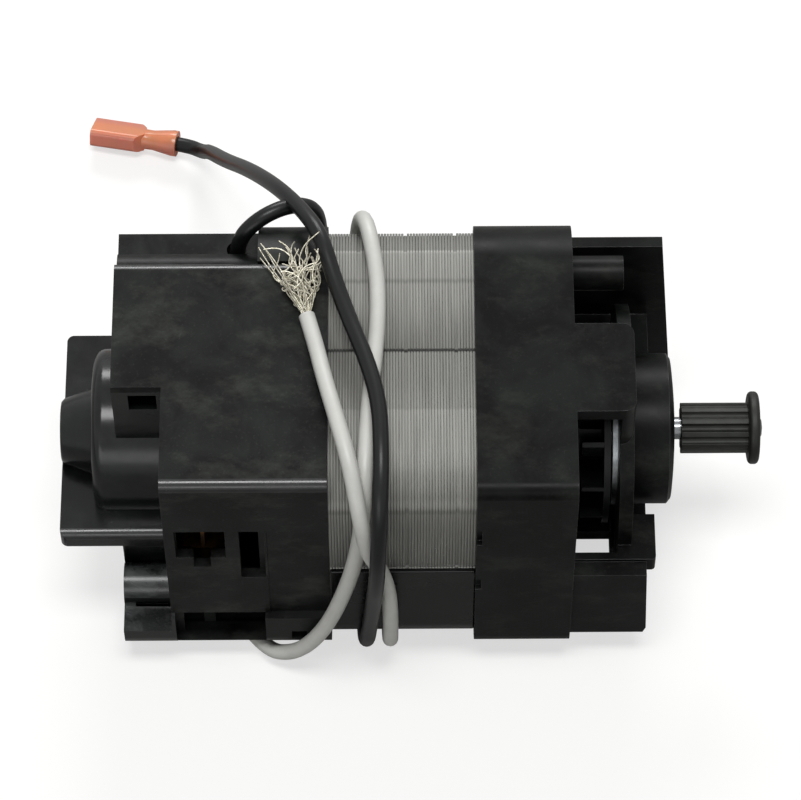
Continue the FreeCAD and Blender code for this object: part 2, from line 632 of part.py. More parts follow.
def through_bolts():
    """Two long bolts with round heads that clamp both housings to the stack."""
    bolts = []
    head_face = BODY_END + 0.4
    for y, z in bolt_places():
        shank = rod(BOLT_RADIUS, head_face + 1, bolt_end(), y, z)
        head = rod(BOLT_HEAD_RADIUS, head_face, head_face + BOLT_HEAD_HEIGHT, y, z)
        slot = block(head_face - 1, head_face + 1.0, y - BOLT_SLOT / 2, y + BOLT_SLOT / 2,
                     z - BOLT_HEAD_RADIUS - 1, z + BOLT_HEAD_RADIUS + 1)
        bolts.append(fused([shank, head]).cut(slot))
    return Part.makeCompound(bolts)


def brush_sides():
    """The front and back brush places, as an angle that turns the front one to its side."""
    return {"front": 0, "rear": 180}


def brush_holder(side):
    """A square brass tube with the upright tab that its wire pushes onto."""
    half_x = BRUSH_WIDTH / 2 + BRUSH_PLAY
    half_z = BRUSH_HEIGHT / 2 + BRUSH_PLAY
    outer_x = half_x + HOLDER_WALL
    outer_z = half_z + HOLDER_WALL
    sign = -1 if side == "front" else 1
    low, high = sorted((sign * HOLDER_START, sign * HOLDER_END))
    tube = block(BRUSH_STATION - outer_x, BRUSH_STATION + outer_x, low, high, -outer_z, outer_z)
    tube = tube.cut(block(BRUSH_STATION - half_x, BRUSH_STATION + half_x, low - 1, high + 1, -half_z, half_z))
    tab_y = sign * (HOLDER_END - TAB_WIDTH / 2)
    tab = block(BRUSH_STATION - TAB_THICKNESS / 2, BRUSH_STATION + TAB_THICKNESS / 2, tab_y - TAB_WIDTH / 2,
                tab_y + TAB_WIDTH / 2, outer_z - 0.2, outer_z + TAB_HEIGHT)
    tab = tab.makeFillet(1.2, [edge for edge in tab.Edges if is_along(edge, Vector(1, 0, 0))
                               and edge.CenterOfMass.z > outer_z + 1])
    return fused([tube, tab])


def brush_holders():
    """Both brush holders."""
    return Part.makeCompound([brush_holder(side) for side in brush_sides()])


def brush_clips():
    """A strap over each holder that grips it down on its shelf."""
    straps = []
    outer_x = BRUSH_WIDTH / 2 + BRUSH_PLAY + HOLDER_WALL
    outer_z = BRUSH_HEIGHT / 2 + BRUSH_PLAY + HOLDER_WALL
    for sign in (-1, 1):
        middle = sign * (HOLDER_START + HOLDER_END) / 2
        low = middle - CLIP_WIDTH / 2
        high = middle + CLIP_WIDTH / 2
        outside = block(BRUSH_STATION - outer_x - CLIP_THICKNESS, BRUSH_STATION + outer_x + CLIP_THICKNESS,
                        low, high, -outer_z, outer_z + CLIP_THICKNESS)
        inside = block(BRUSH_STATION - outer_x, BRUSH_STATION + outer_x, low - 1, high + 1, -outer_z - 1, outer_z)
        foot = block(BRUSH_STATION - outer_x - CLIP_FOOT, BRUSH_STATION + outer_x + CLIP_FOOT,
                     low, high, -outer_z, -outer_z + CLIP_THICKNESS)
        straps.append(fused([outside, foot]).cut(inside))
    return Part.makeCompound(straps)


def brush(side):
    """A carbon brush, hollowed at its tip to the commutator's curve."""
    sign = -1 if side == "front" else 1
    low, high = sorted((sign * (COMMUTATOR_RADIUS - 0.9), sign * brush_back()))
    carbon = block(BRUSH_STATION - BRUSH_WIDTH / 2, BRUSH_STATION + BRUSH_WIDTH / 2, low, high,
                   -BRUSH_HEIGHT / 2, BRUSH_HEIGHT / 2)
    return carbon.cut(rod(COMMUTATOR_RADIUS + 0.05, COMMUTATOR_LEFT, COMMUTATOR_LEFT + COMMUTATOR_LENGTH))


def brush_back():
    """How far out the back of a resting brush is from the shaft's axis."""
    return HOLDER_END - SPRING_ROOM - 2 * SPRING_ROLL_RADIUS


def brush_spring(side):
    """A strip spring rolled up behind its brush, which it follows."""
    sign = -1 if side == "front" else 1
    centre = sign * (brush_back() + SPRING_ROLL_RADIUS)
    roll = Part.makeCylinder(SPRING_ROLL_RADIUS, SPRING_STRIP, Vector(BRUSH_STATION, centre, -SPRING_STRIP / 2))
    eye = Part.makeCylinder(SPRING_ROLL_RADIUS - SPRING_ROLL_WALL, SPRING_STRIP + 2,
                            Vector(BRUSH_STATION, centre, -SPRING_STRIP / 2 - 1))
    return roll.cut(eye)


def shaft():
    """The stepped shaft, from its end in the rear bush to its rounded tip outside the pulley."""
    tip = pulley_end() + SHAFT_TIP
    neck_start = BOSS_FACE - 2.6
    return spun([(NOSE_TIP + 3.4, 0), (NOSE_TIP + 3.4, SHAFT_END_RADIUS - 0.5),
                 (NOSE_TIP + 3.9, SHAFT_END_RADIUS), (shaft_step(), SHAFT_END_RADIUS),
                 (shaft_step(), SHAFT_RADIUS), (neck_start - 0.5, SHAFT_RADIUS),
                 (neck_start, SHAFT_RADIUS - 0.5), (neck_start, SHAFT_NECK_RADIUS),
                 (tip - 0.7, SHAFT_NECK_RADIUS), (tip - 0.2, SHAFT_NECK_RADIUS - 0.7), (tip, 0)])


def pulley_start():
    """The pulley's inner end."""
    return BOSS_FACE + BOSS_CROWN + PULLEY_GAP


def pulley_end():
    """The outer face of the pulley's flange."""
    return pulley_start() + PULLEY_LENGTH + PULLEY_FLANGE_WIDTH


def armature_core():
    """The laminated armature with its row of half-closed slots."""
    core = rod(ARMATURE_RADIUS, STACK_LEFT, STACK_RIGHT)
    cuts = [rod(SHAFT_RADIUS, STACK_LEFT - 1, STACK_RIGHT + 1)]
    for index in range(ARMATURE_SLOTS):
        angle = 360.0 * index / ARMATURE_SLOTS
        cuts.append(turned(slot_shape(0, STACK_LEFT - 1, STACK_RIGHT + 1), angle))
        mouth = block(STACK_LEFT - 1, STACK_RIGHT + 1, -SLOT_OPENING / 2, SLOT_OPENING / 2,
                      ARMATURE_RADIUS - TOOTH_TIP - 1, ARMATURE_RADIUS + 1)
        cuts.append(turned(mouth, angle))
    return core.cut(cuts)


def slot_shape(inset, x0, x1):
    """One armature slot, or the winding that fills it where it is drawn in."""
    half = SLOT_WIDTH / 2 - inset
    top = ARMATURE_RADIUS - TOOTH_TIP - inset
    low = SLOT_FLOOR_RADIUS + inset
    return block(x0, x1, -half, half, low + half / 2, top)


def armature_windings():
    """The armature's copper: the bars in the slots and the bundled turns at both ends."""
    left = STACK_LEFT - PLAY
    right = STACK_RIGHT + PLAY
    inner = SHAFT_RADIUS + 1.6
    bundles = []
    for face, way in ((left, -1), (right, 1)):
        end = face + way * WINDING_OVERHANG
        bundles.append(spun([(face, inner), (face, WINDING_RADIUS - 1.2), (face + way * 2.0, WINDING_RADIUS),
                             (face + way * 5.5, WINDING_RADIUS), (end - way * 1.6, WINDING_RADIUS - 3.2),
                             (end, WINDING_RADIUS - 6.0), (end, inner)]))
    bars = [turned(slot_shape(0.25, left - 1, right + 1), 360.0 * index / ARMATURE_SLOTS)
            for index in range(ARMATURE_SLOTS)]
    return bundles[0].fuse(bars + bundles[1:])


def commutator_bars():
    """The copper bars of the commutator, each with its raised end for the wires."""
    bars = []
    span = 360.0 / COMMUTATOR_BARS
    gap = math.degrees(BAR_GAP / COMMUTATOR_RADIUS) / 2
    right = COMMUTATOR_LEFT + COMMUTATOR_LENGTH
    for index in range(COMMUTATOR_BARS):
        low = span * index + gap
        high = span * (index + 1) - gap
        bar = arc_block(COMMUTATOR_RADIUS, HUB_RADIUS, low, high, COMMUTATOR_LEFT, right)
        riser = arc_block(RISER_RADIUS, HUB_RADIUS, low, high, right, right + RISER_LENGTH)
        bars.append(fused([bar, riser]))
    return Part.makeCompound(bars)


def commutator_hub():
    """The moulded hub that holds the commutator's bars on the shaft."""
    return ring(HUB_RADIUS, SHAFT_RADIUS, COMMUTATOR_LEFT - 0.6, COMMUTATOR_LEFT + COMMUTATOR_LENGTH + RISER_LENGTH)


def fan_right():
    """The face of the fan towards the end wall."""
    return WALL_INNER - FAN_BACK_GAP


def fan():
    """The cooling fan: a hub, a back disc and curved blades."""
    right = fan_right()
    disc = rod(FAN_RADIUS, right - 1.4, right)
    hub = rod(FAN_HUB_RADIUS, right - FAN_LENGTH - 4.0, right)
    blades = [turned(fan_blade(right - FAN_LENGTH, right - 1.0), 360.0 * index / FAN_BLADES)
              for index in range(FAN_BLADES)]
    return fused([disc, hub] + blades).cut(rod(SHAFT_RADIUS, right - 20, right + 1))


def fan_blade(x0, x1):
    """One blade, bent back from the hub to the rim."""
    start = on_circle(FAN_HUB_RADIUS - 1.5, 0, x0)
    middle = on_circle((FAN_HUB_RADIUS + FAN_RADIUS) / 2, 6, x0)
    end = on_circle(FAN_RADIUS - 0.1, 19, x0)
    shift = Vector(0, BLADE_THICKNESS, 0)
    inner_end = on_circle(FAN_RADIUS - 0.1, 22, x0)
    edges = [
        Part.Arc(start, middle, end).toShape(),
        Part.makeLine(end, inner_end),
        Part.Arc(inner_end, middle + shift, start + shift).toShape(),
        Part.makeLine(start + shift, start),
    ]
    return Part.Face(Part.Wire(edges)).extrude(Vector(x1 - x0, 0, 0))


def pulley():
    """The toothed belt pulley with its round-rimmed outer flange."""
    start = pulley_start()
    flange = start + PULLEY_LENGTH
    barrel = rod(PULLEY_RADIUS, start, flange + 0.5)
    grooves = []
    for index in range(PULLEY_TEETH):
        place = on_circle(PULLEY_RADIUS, 360.0 * index / PULLEY_TEETH)
        grooves.append(rod(PULLEY_GROOVE_RADIUS, start - 1, flange, place.y, place.z))
    rim = rod(PULLEY_FLANGE_RADIUS, flange, flange + PULLEY_FLANGE_WIDTH)
    rim = rim.makeFillet(PULLEY_FLANGE_WIDTH * 0.4, [edge for edge in rim.Edges
                                                     if edge.Curve.TypeId == "Part::GeomCircle"])
    return barrel.cut(grooves).fuse(rim).cut(rod(SHAFT_NECK_RADIUS, start - 1, flange + 9)).removeSplitter()


def thrust_washers():
    """Flat washers between the shaft's shoulder and the rear bush."""
    washers = []
    for index in range(THRUST_WASHERS):
        right = shaft_step() - index * THRUST_WASHER
        washers.append(ring(SHAFT_END_RADIUS + 1.8, SHAFT_END_RADIUS, right - THRUST_WASHER, right))
    return Part.makeCompound(washers)


def bearing_spacer():
    """The sleeve between the fan's hub and the ball bearing."""
    return ring(SHAFT_RADIUS + 1.6, SHAFT_RADIUS, fan_right(), WALL_INNER)


def shaft_clip():
    """The clip that keeps the ball bearing on the shaft."""
    start = bearing_right()
    return ring(SHAFT_RADIUS + 1.1, SHAFT_RADIUS, start, start + 0.6)


def race_groove():
    """The ring-shaped space that the balls run in."""
    middle = (WALL_INNER + bearing_right()) / 2
    return Part.makeTorus(BALL_PITCH_RADIUS, BALL_RADIUS + BALL_PLAY, Vector(middle, 0, 0), Vector(1, 0, 0))


def bearing_inner_ring():
    """The ball bearing's inner ring, pressed on the shaft."""
    return ring(BALL_PITCH_RADIUS - RACE_STEP, SHAFT_RADIUS, WALL_INNER, bearing_right()).cut(race_groove())


def bearing_outer_ring():
    """The ball bearing's outer ring, held in the boss."""
    outer = ring(BEARING_RADIUS, BALL_PITCH_RADIUS + RACE_STEP, WALL_INNER, bearing_right()).cut(race_groove())
    recess = BALL_PITCH_RADIUS + RACE_STEP + 0.4
    for start in (WALL_INNER + PLAY, bearing_right() - PLAY - SHIELD_THICKNESS):
        outer = outer.cut(rod(recess, start, start + SHIELD_THICKNESS))
    return outer


def bearing_shields():
    """The two thin steel shields that close the ball bearing."""
    shields = []
    outer = BALL_PITCH_RADIUS + RACE_STEP + 0.4
    inner = BALL_PITCH_RADIUS - RACE_STEP + PLAY
    for start in (WALL_INNER + PLAY, bearing_right() - PLAY - SHIELD_THICKNESS):
        shields.append(ring(outer, inner, start, start + SHIELD_THICKNESS))
    return Part.makeCompound(shields)


def ball_places():
    """The centres of the balls."""
    middle = (WALL_INNER + bearing_right()) / 2
    return [on_circle(BALL_PITCH_RADIUS, 360.0 * index / BALLS, middle) for index in range(BALLS)]


def bearing_balls():
    """The ball bearing's balls."""
    return Part.makeCompound([Part.makeSphere(BALL_RADIUS, place) for place in ball_places()])


def bearing_cage():
    """The ring that keeps the balls apart."""
    middle = (WALL_INNER + bearing_right()) / 2
    cage = ring(BALL_PITCH_RADIUS + 0.7, BALL_PITCH_RADIUS - 0.7, middle - CAGE_WIDTH, middle + CAGE_WIDTH)
    room = 2 * (BALL_RADIUS + 0.12)
    pocket = block(middle - room / 2, middle + room / 2, -room / 2, room / 2,
                   BALL_PITCH_RADIUS - 2, BALL_PITCH_RADIUS + 2)
    return cage.cut([turned(pocket, -360.0 * index / BALLS) for index in range(BALLS)])


def wave_washer():
    """The spring washer between the ball bearing and the bottom of its pocket."""
    start = bearing_right()
    return ring(BEARING_RADIUS - 0.4, BALL_PITCH_RADIUS + 0.6, start, start + wave_gap())


def bearing_retainer():
    """The plate that keeps the ball bearing in its pocket."""
    plate = ring(SCREW_SPREAD + 3.0, BEARING_RADIUS - 1.6, WALL_INNER - RETAINER_THICKNESS, WALL_INNER)
    for place in retainer_screw_places():
        plate = plate.cut(rod(SCREW_RADIUS, WALL_INNER - 2, WALL_INNER + 1, place.y, place.z))
        plate = plate.cut(rod(SCREW_HEAD_RADIUS, WALL_INNER - 2, WALL_INNER - 0.5, place.y, place.z))
    return plate


def retainer_screws():
    """The two flat-headed screws of the bearing retainer."""
    screws = []
    for place in retainer_screw_places():
        shank = rod(SCREW_RADIUS, WALL_INNER - 0.6, screw_end(), place.y, place.z)
        head = rod(SCREW_HEAD_RADIUS, WALL_INNER - RETAINER_THICKNESS, WALL_INNER - 0.5, place.y, place.z)
        screws.append(fused([shank, head]))
    return Part.makeCompound(screws)


def rear_bush():
    """The barrel-shaped sintered bush that the shaft's end turns in."""
    left = bush_left()
    right = bush_right()
    middle = (left + right) / 2
    bush = rod(BUSH_RADIUS, left, right).common(Part.makeSphere(BUSH_RADIUS * 1.06, Vector(middle, 0, 0)))
    return bush.cut(rod(SHAFT_END_RADIUS + BUSH_PLAY, left - 1, right + 1))


def oil_felt():
    """The felt ring that oils the bush."""
    left = bush_left() + 3.8
    return ring(REAR_CYLINDER_RADIUS - REAR_CYLINDER_WALL - 0.1, BUSH_RADIUS + 0.1, left, bush_right() - 0.2)


def bush_retainer():
    """The spring-steel disc that holds bush and felt in the rear cylinder."""
    start = bush_right() - 0.2
    disc = ring(REAR_CYLINDER_RADIUS - REAR_CYLINDER_WALL, SHAFT_END_RADIUS + 2.4, start, start + 0.8)
    for index in range(6):
        hole = on_circle(11.2, 60.0 * index)
        disc = disc.cut(rod(1.6, start - 1, start + 2, hole.y, hole.z))
    return disc.cut(rear_bush())


# Leads. Each route is a list of points in order, from the housing to the free end.
BLACK_ROUTE = [
    (-87.2, 29.3, 20.0), (-87.2, 29.3, 28.5), (-82.2, 31.8, 34.1), (-75.2, 35.3, 34.1), (-70.2, 37.7, 28.5),
    (-69.6, 37.9, 17.0), (-68.0, 37.8, -2.0), (-65.6, 37.5, -17.0), (-63.6, 37.3, -29.5),
    (-62.8, 29.4, -37.1), (-62.0, 12.0, -37.1), (-61.3, -10.0, -37.1), (-60.8, -28.2, -37.1),
    (-60.2, -36.7, -28.2), (-59.3, -38.2, -15.0), (-58.5, -40.4, -1.0), (-57.8, -42.6, 11.0),
    (-57.4, -42.6, 23.5), (-56.9, -37.6, 34.5), (-56.6, -28.0, 39.6), (-57.0, -16.0, 39.6),
    (-59.6, -5.8, 39.4), (-63.0, 3.5, 39.2), (-66.2, 13.0, 39.7), (-68.9, 22.5, 41.6), (-72.6, 30.5, 38.6),
    (-78.5, 42.5, 29.5), (-85.2, 58.0, 12.5), (-91.5, 73.5, -7.5), (-96.2, 88.4, -26.3),
    (-97.8, 92.4, -32.8), (-101.6, 96.1, -35.5), (-110.1, 97.9, -35.9),
]
WHITE_ROUTE = [
    (-88.7, -24.0, -37.1), (-82.7, -33.6, -37.2), (-75.2, -36.8, -32.5), (-68.9, -37.4, -20.0),
    (-64.0, -37.7, 0.0), (-61.4, -36.9, 16.0), (-60.5, -35.8, 28.8), (-60.0, -28.8, 35.8),
    (-59.2, -14.0, 35.3), (-57.4, 2.0, 35.1), (-57.2, 16.0, 35.3), (-59.3, 28.8, 35.9), (-61.0, 35.9, 28.8),
    (-62.0, 36.6, 15.0), (-61.4, 37.0, 0.0), (-60.4, 37.1, -14.0), (-59.4, 37.1, -29.0),
    (-58.4, 29.4, -37.1), (-57.0, 12.0, -37.1), (-56.0, -10.0, -37.1), (-55.4, -28.2, -37.1),
    (-55.1, -36.7, -28.2), (-55.0, -37.2, -15.0), (-55.4, -37.0, -3.0), (-57.2, -37.3, 8.0),
    (-59.7, -39.9, 19.5), (-61.0, -38.6, 31.5), (-63.0, -30.0, 39.0), (-65.8, -19.5, 40.0),
    (-68.4, -9.0, 38.6), (-70.2, -0.5, 37.7), (-71.9, 5.7, 37.6),
]


def rounded_route(points, name):
    """Straight runs joined by tangent arcs, each as large as its two runs allow."""
    edges = []
    start = points[0]
    radii = []
    for before, corner, after in zip(points, points[1:], points[2:]):
        towards = (before - corner)
        away = (after - corner)
        shorter = min(towards.Length, away.Length)
        half_turn = (math.pi - towards.getAngle(away)) / 2
        towards.normalize()
        away.normalize()
        reach = ARC_SHARE * shorter
        radius = reach / math.tan(half_turn)
        enter = corner + towards * reach
        leave = corner + away * reach
        inward = (towards + away).normalize()
        middle = corner + inward * (radius / math.cos(half_turn) - radius)
        edges += [Part.makeLine(start, enter), Part.Arc(enter, middle, leave).toShape()]
        start = leave
        radii.append(round(radius, 1))
    edges.append(Part.makeLine(start, points[-1]))
    path = Part.Wire(edges)
    print(name, "length", round(path.Length, 1), "arc radii", radii)
    return path


def tube_along(route, name):
    """A round lead along its route."""
    points = [Vector(*point) for point in route]
    path = rounded_route(points, name)
    first = points[1] - points[0]
    section = Part.Wire(Part.makeCircle(LEAD_RADIUS, points[0], first))
    tube = path.makePipeShell([section], True, False)
    expected = math.pi * LEAD_RADIUS ** 2 * path.Length
    print(name, "volume over section times length", round(tube.Volume / expected, 4))
    return tube


def end_direction(route):
    """The direction that a route ends in."""
    last = Vector(*route[-1]) - Vector(*route[-2])
    return last.normalize()


def placed_at_end(shape, route):
    """Moves a shape made along +X from the origin so that it goes on from a route's end."""
    direction = end_direction(route)
    moved = shape.copy()
    moved.Placement = FreeCAD.Placement(Vector(*route[-1]), FreeCAD.Rotation(Vector(1, 0, 0), direction))
    return moved


def connector_sleeve():
    """The nylon sleeve of the push-on connector: a round barrel and a flat hollow front."""
    start = -SLEEVE_BARREL_LENGTH + 1.4
    front = start + SLEEVE_LENGTH
    neck = start + SLEEVE_BARREL_LENGTH
    bell = SLEEVE_BARREL_RADIUS
    waist = bell - 0.7
    barrel = spun([(start, 0), (start, bell), (start + 1.2, bell), (neck - 2.0, waist), (neck + 0.5, waist),
                   (neck + 0.5, 0)])
    body = block(neck, front, -SLEEVE_WIDTH / 2, SLEEVE_WIDTH / 2, -SLEEVE_HEIGHT / 2, SLEEVE_HEIGHT / 2)
    body = body.makeChamfer(SLEEVE_SHOULDER, [edge for edge in body.Edges if is_along(edge, Vector(0, 0, 1))
                                              and abs(edge.CenterOfMass.x - neck) < 0.01])
    body = body.makeFillet(1.2, [edge for edge in body.Edges if is_along(edge, Vector(1, 0, 0))])
    sleeve = barrel.fuse(body)
    hollow = block(neck + SLEEVE_SHOULDER, front + 1, -SLEEVE_WIDTH / 2 + SLEEVE_WALL, SLEEVE_WIDTH / 2 - SLEEVE_WALL,
                   -SLEEVE_HEIGHT / 2 + SLEEVE_WALL, SLEEVE_HEIGHT / 2 - SLEEVE_WALL)
    sleeve = sleeve.cut(hollow).cut(rod(LEAD_RADIUS + SLIP, start - 1, neck + SLEEVE_SHOULDER + 0.7))
    return placed_at_end(sleeve, BLACK_ROUTE)


def connector_receptacle():
    """The brass receptacle in the sleeve: a crimp barrel and two rolled sides that grip a blade."""
    crimp = rod(LEAD_RADIUS - 0.1, 0, 4.0)
    half = RECEPTACLE_WIDTH / 2
    floor = block(3.6, 11.0, -half, half, -1.0, -0.5)
    sides = [block(3.6, 11.0, low, low + RECEPTACLE_SIDE, -1.0, 0.9) for low in (-half, half - RECEPTACLE_SIDE)]
    lips = [block(3.6, 11.0, low, low + 1.6, 0.5, 0.9) for low in (-half, half - 1.6)]
    return placed_at_end(fused([crimp, floor] + sides + lips), BLACK_ROUTE)


def white_lead_strands():
    """The stripped end's frayed strands, as one closed form that widens away from the lead."""
    end = Vector(*WHITE_ROUTE[-1])
    sections = []
    for along, half_width, aside in ((0.6, 0.9, 0.0), (7.0, 2.2, 1.2), (13.0, 5.2, 3.4), (19.5, 6.4, 5.0)):
        centre = end + Vector(-aside, along, 0)
        sections.append(Part.Wire(ellipse_edges(centre, half_width, 0.9 + 0.02 * along)))
    return Part.makeLoft(sections, True, True)


def ellipse_edges(centre, half_width, half_height):
    """An upright ellipse across the lead's end, as one closed edge."""
    if half_width > half_height:
        curve = Part.Ellipse(centre + Vector(half_width, 0, 0), centre + Vector(0, 0, half_height), centre)
        return [curve.toShape()]
    return [Part.makeCircle(half_width, centre, Vector(0, 1, 0))]


NODES = {
    "drive_end_housing": drive_end_housing,
    "commutator_end_housing": commutator_end_housing,
    "terminal_cover": terminal_cover,
    "stator_stack": stator_stack,
    "lower_stack_cover": lower_stack_cover,
    "upper_field_coil": lambda: field_coil(0),
    "lower_field_coil": lambda: field_coil(180),
    "end_insulators": end_insulators,
    "through_bolts": through_bolts,
    "brush_holders": brush_holders,
    "brush_clips": brush_clips,
    "front_brush": lambda: brush("front"),
    "rear_brush": lambda: brush("rear"),
    "front_brush_spring": lambda: brush_spring("front"),
    "rear_brush_spring": lambda: brush_spring("rear"),
    "shaft": shaft,
    "armature_core": armature_core,
    "armature_windings": armature_windings,
    "commutator_bars": commutator_bars,
    "commutator_hub": commutator_hub,
    "fan": fan,
    "pulley": pulley,
    "thrust_washers": thrust_washers,
    "bearing_spacer": bearing_spacer,
    "shaft_clip": shaft_clip,
    "bearing_inner_ring": bearing_inner_ring,
    "bearing_outer_ring": bearing_outer_ring,
    "bearing_shields": bearing_shields,
    "bearing_balls": bearing_balls,
    "bearing_cage": bearing_cage,
    "wave_washer": wave_washer,
    "bearing_retainer": bearing_retainer,
    "retainer_screws": retainer_screws,
    "rear_bush": rear_bush,
    "oil_felt": oil_felt,
    "bush_retainer": bush_retainer,
    "black_lead": lambda: tube_along(BLACK_ROUTE, "black_lead"),
    "white_lead": lambda: tube_along(WHITE_ROUTE, "white_lead"),
    "connector_sleeve": connector_sleeve,
    "connector_receptacle": connector_receptacle,
    "white_lead_strands": white_lead_strands,
}

os.makedirs("parts", exist_ok=True)
for node, make in NODES.items():
    shape = make()
    print(node, "solids", len(shape.Solids), "valid", shape.isValid(), "volume", round(shape.Volume, 1))
    shape.exportStep("parts/" + node + ".step")
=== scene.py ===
"""Looks of a vacuum power nozzle motor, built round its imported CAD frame.

X runs along the shaft towards the pulley, Z is up. Lengths are in millimetres, which MM turns to metres.
Only the lamps, the table and the leads' own lengths are written in metres.
"""
import math
import random

import bmesh
import bpy
from mathutils import Matrix, Vector


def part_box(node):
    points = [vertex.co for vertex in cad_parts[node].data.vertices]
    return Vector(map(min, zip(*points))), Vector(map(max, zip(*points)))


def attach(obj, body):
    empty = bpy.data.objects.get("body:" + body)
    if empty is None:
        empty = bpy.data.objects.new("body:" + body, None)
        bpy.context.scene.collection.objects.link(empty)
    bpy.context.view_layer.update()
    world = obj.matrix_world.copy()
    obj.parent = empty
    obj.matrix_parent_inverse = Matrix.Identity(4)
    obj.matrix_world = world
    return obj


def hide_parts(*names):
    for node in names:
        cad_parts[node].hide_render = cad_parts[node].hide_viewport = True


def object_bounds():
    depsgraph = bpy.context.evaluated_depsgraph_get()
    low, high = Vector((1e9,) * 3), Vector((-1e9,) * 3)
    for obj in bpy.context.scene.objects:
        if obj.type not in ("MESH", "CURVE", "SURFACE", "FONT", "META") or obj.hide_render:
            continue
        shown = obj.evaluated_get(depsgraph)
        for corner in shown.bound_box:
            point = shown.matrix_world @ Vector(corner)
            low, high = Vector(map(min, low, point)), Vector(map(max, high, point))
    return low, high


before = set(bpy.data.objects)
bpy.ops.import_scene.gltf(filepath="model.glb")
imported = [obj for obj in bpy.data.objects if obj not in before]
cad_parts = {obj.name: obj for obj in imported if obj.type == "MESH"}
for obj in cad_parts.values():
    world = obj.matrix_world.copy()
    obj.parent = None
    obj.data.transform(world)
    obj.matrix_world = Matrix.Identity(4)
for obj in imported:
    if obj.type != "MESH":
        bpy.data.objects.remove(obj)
cad_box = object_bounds()

# Studio: a white room with one soft box overhead, one behind the motor and a weak fill in front, as for a
# catalogue photograph. The camera looks down from the front at 60 degrees, turned a little, so that the shaft
# rises to the right.
MM = 0.001
PHOTO_WIDTH = 801
SENSOR_WIDTH = 36
PIXELS_PER_MM = 4.7
VIEW_DISTANCE = 900 * MM
VIEW_ELEVATION = 60
VIEW_ROLL = -0.3
VIEW_TARGET = Vector((-52.7, 5.44, 3.14)) * MM
LAMP_DISTANCE = 1.4
ROOM_LIGHT = 0.18


def linear(hex_colour):
    """An sRGB hex colour as linear red, green, blue and alpha."""
    parts = [int(hex_colour[i:i + 2], 16) / 255 for i in (1, 3, 5)]
    return [part / 12.92 if part <= 0.04045 else ((part + 0.055) / 1.055) ** 2.4 for part in parts] + [1.0]


def add_node(tree, kind, inputs=None, **settings):
    """Adds a node with its settings. An input is a value, an output, or a node for its first output."""
    made = tree.nodes.new(kind)
    for name, value in settings.items():
        setattr(made, name, value)
    for name, value in (inputs or {}).items():
        if isinstance(value, bpy.types.Node):
            value = value.outputs[0]
        if isinstance(value, bpy.types.NodeSocket):
            tree.links.new(value, made.inputs[name])
        else:
            made.inputs[name].default_value = value
    return made


camera = bpy.data.objects.new("camera", bpy.data.cameras.new("camera"))
bpy.context.scene.collection.objects.link(camera)
camera.data.sensor_width = SENSOR_WIDTH
camera.data.lens = PIXELS_PER_MM * VIEW_DISTANCE / MM / PHOTO_WIDTH * SENSOR_WIDTH
tilt = math.radians(90 - VIEW_ELEVATION)
camera.location = VIEW_TARGET + VIEW_DISTANCE * Vector((0, -math.sin(tilt), math.cos(tilt)))
camera_turn = Matrix.Rotation(tilt, 3, "X") @ Matrix.Rotation(math.radians(VIEW_ROLL), 3, "Z")
camera.rotation_euler = camera_turn.to_euler()
bpy.context.scene.camera = camera
bpy.context.scene.view_settings.view_transform = "Standard"


def soft_box(name, elevation, azimuth, width, height, power):
    """A rectangular lamp that faces the motor. Azimuth 0 is the camera's side."""
    lamp = bpy.data.lights.new(name, "AREA")
    lamp.shape = "RECTANGLE"
    lamp.size = width
    lamp.size_y = height
    lamp.energy = power
    holder = bpy.data.objects.new(name, lamp)
    up, around = math.radians(elevation), math.radians(azimuth)
    towards = Vector((math.sin(around) * math.cos(up), -math.cos(around) * math.cos(up), math.sin(up)))
    holder.location = VIEW_TARGET + towards * LAMP_DISTANCE
    holder.rotation_euler = towards.to_track_quat("Z", "Y").to_euler()
    bpy.context.scene.collection.objects.link(holder)


soft_box("overhead_box", elevation=84, azimuth=0, width=0.7, height=0.34, power=12)
soft_box("back_box", elevation=33, azimuth=180, width=0.7, height=0.32, power=10)
soft_box("front_fill", elevation=24, azimuth=-20, width=0.9, height=0.4, power=3.2)

white_room = bpy.data.worlds.new("white_room")
bpy.context.scene.world = white_room
white_room.use_nodes = True
room_tree = white_room.node_tree
room_ray = add_node(room_tree, "ShaderNodeLightPath")
room_seen = room_ray.outputs["Is Camera Ray"]
for ray in ("Is Glossy Ray", "Is Transmission Ray"):
    room_seen = add_node(room_tree, "ShaderNodeMath", {0: room_seen, 1: room_ray.outputs[ray]},
                         operation="MAXIMUM")
room_strength = add_node(room_tree, "ShaderNodeMapRange", {
    "Value": room_seen, "To Min": ROOM_LIGHT, "To Max": 1.0})
room_background = room_tree.nodes["Background"]
room_background.inputs["Color"].default_value = linear("#ffffff")
room_tree.links.new(room_strength.outputs["Result"], room_background.inputs["Strength"])

# Table: a matt white card under the feet. It is drawn nearly white for the camera and through clear pieces,
# and keeps the soft shadow that the motor and its leads throw on it.
FLOOR_HALF = 3.0
CARD_GLOW = 0.62


def new_material(name, **sockets):
    """A new material, its tree and its shader, with constants set on the shader's own sockets."""
    material = bpy.data.materials.new(name)
    material.use_nodes = True
    shader = material.node_tree.nodes["Principled BSDF"]
    for socket, value in sockets.items():
        shader.inputs[socket.replace("_", " ")].default_value = value
    return material, material.node_tree, shader


floor_level = cad_box[0].z
floor_corners = [(x * FLOOR_HALF, y * FLOOR_HALF, floor_level)
                 for x, y in ((-1, -1), (1, -1), (1, 1), (-1, 1))]
floor_mesh = bpy.data.meshes.new("table")
floor_mesh.from_pydata(floor_corners, [], [(0, 1, 2, 3)])
table = bpy.data.objects.new("table", floor_mesh)
bpy.context.scene.collection.objects.link(table)
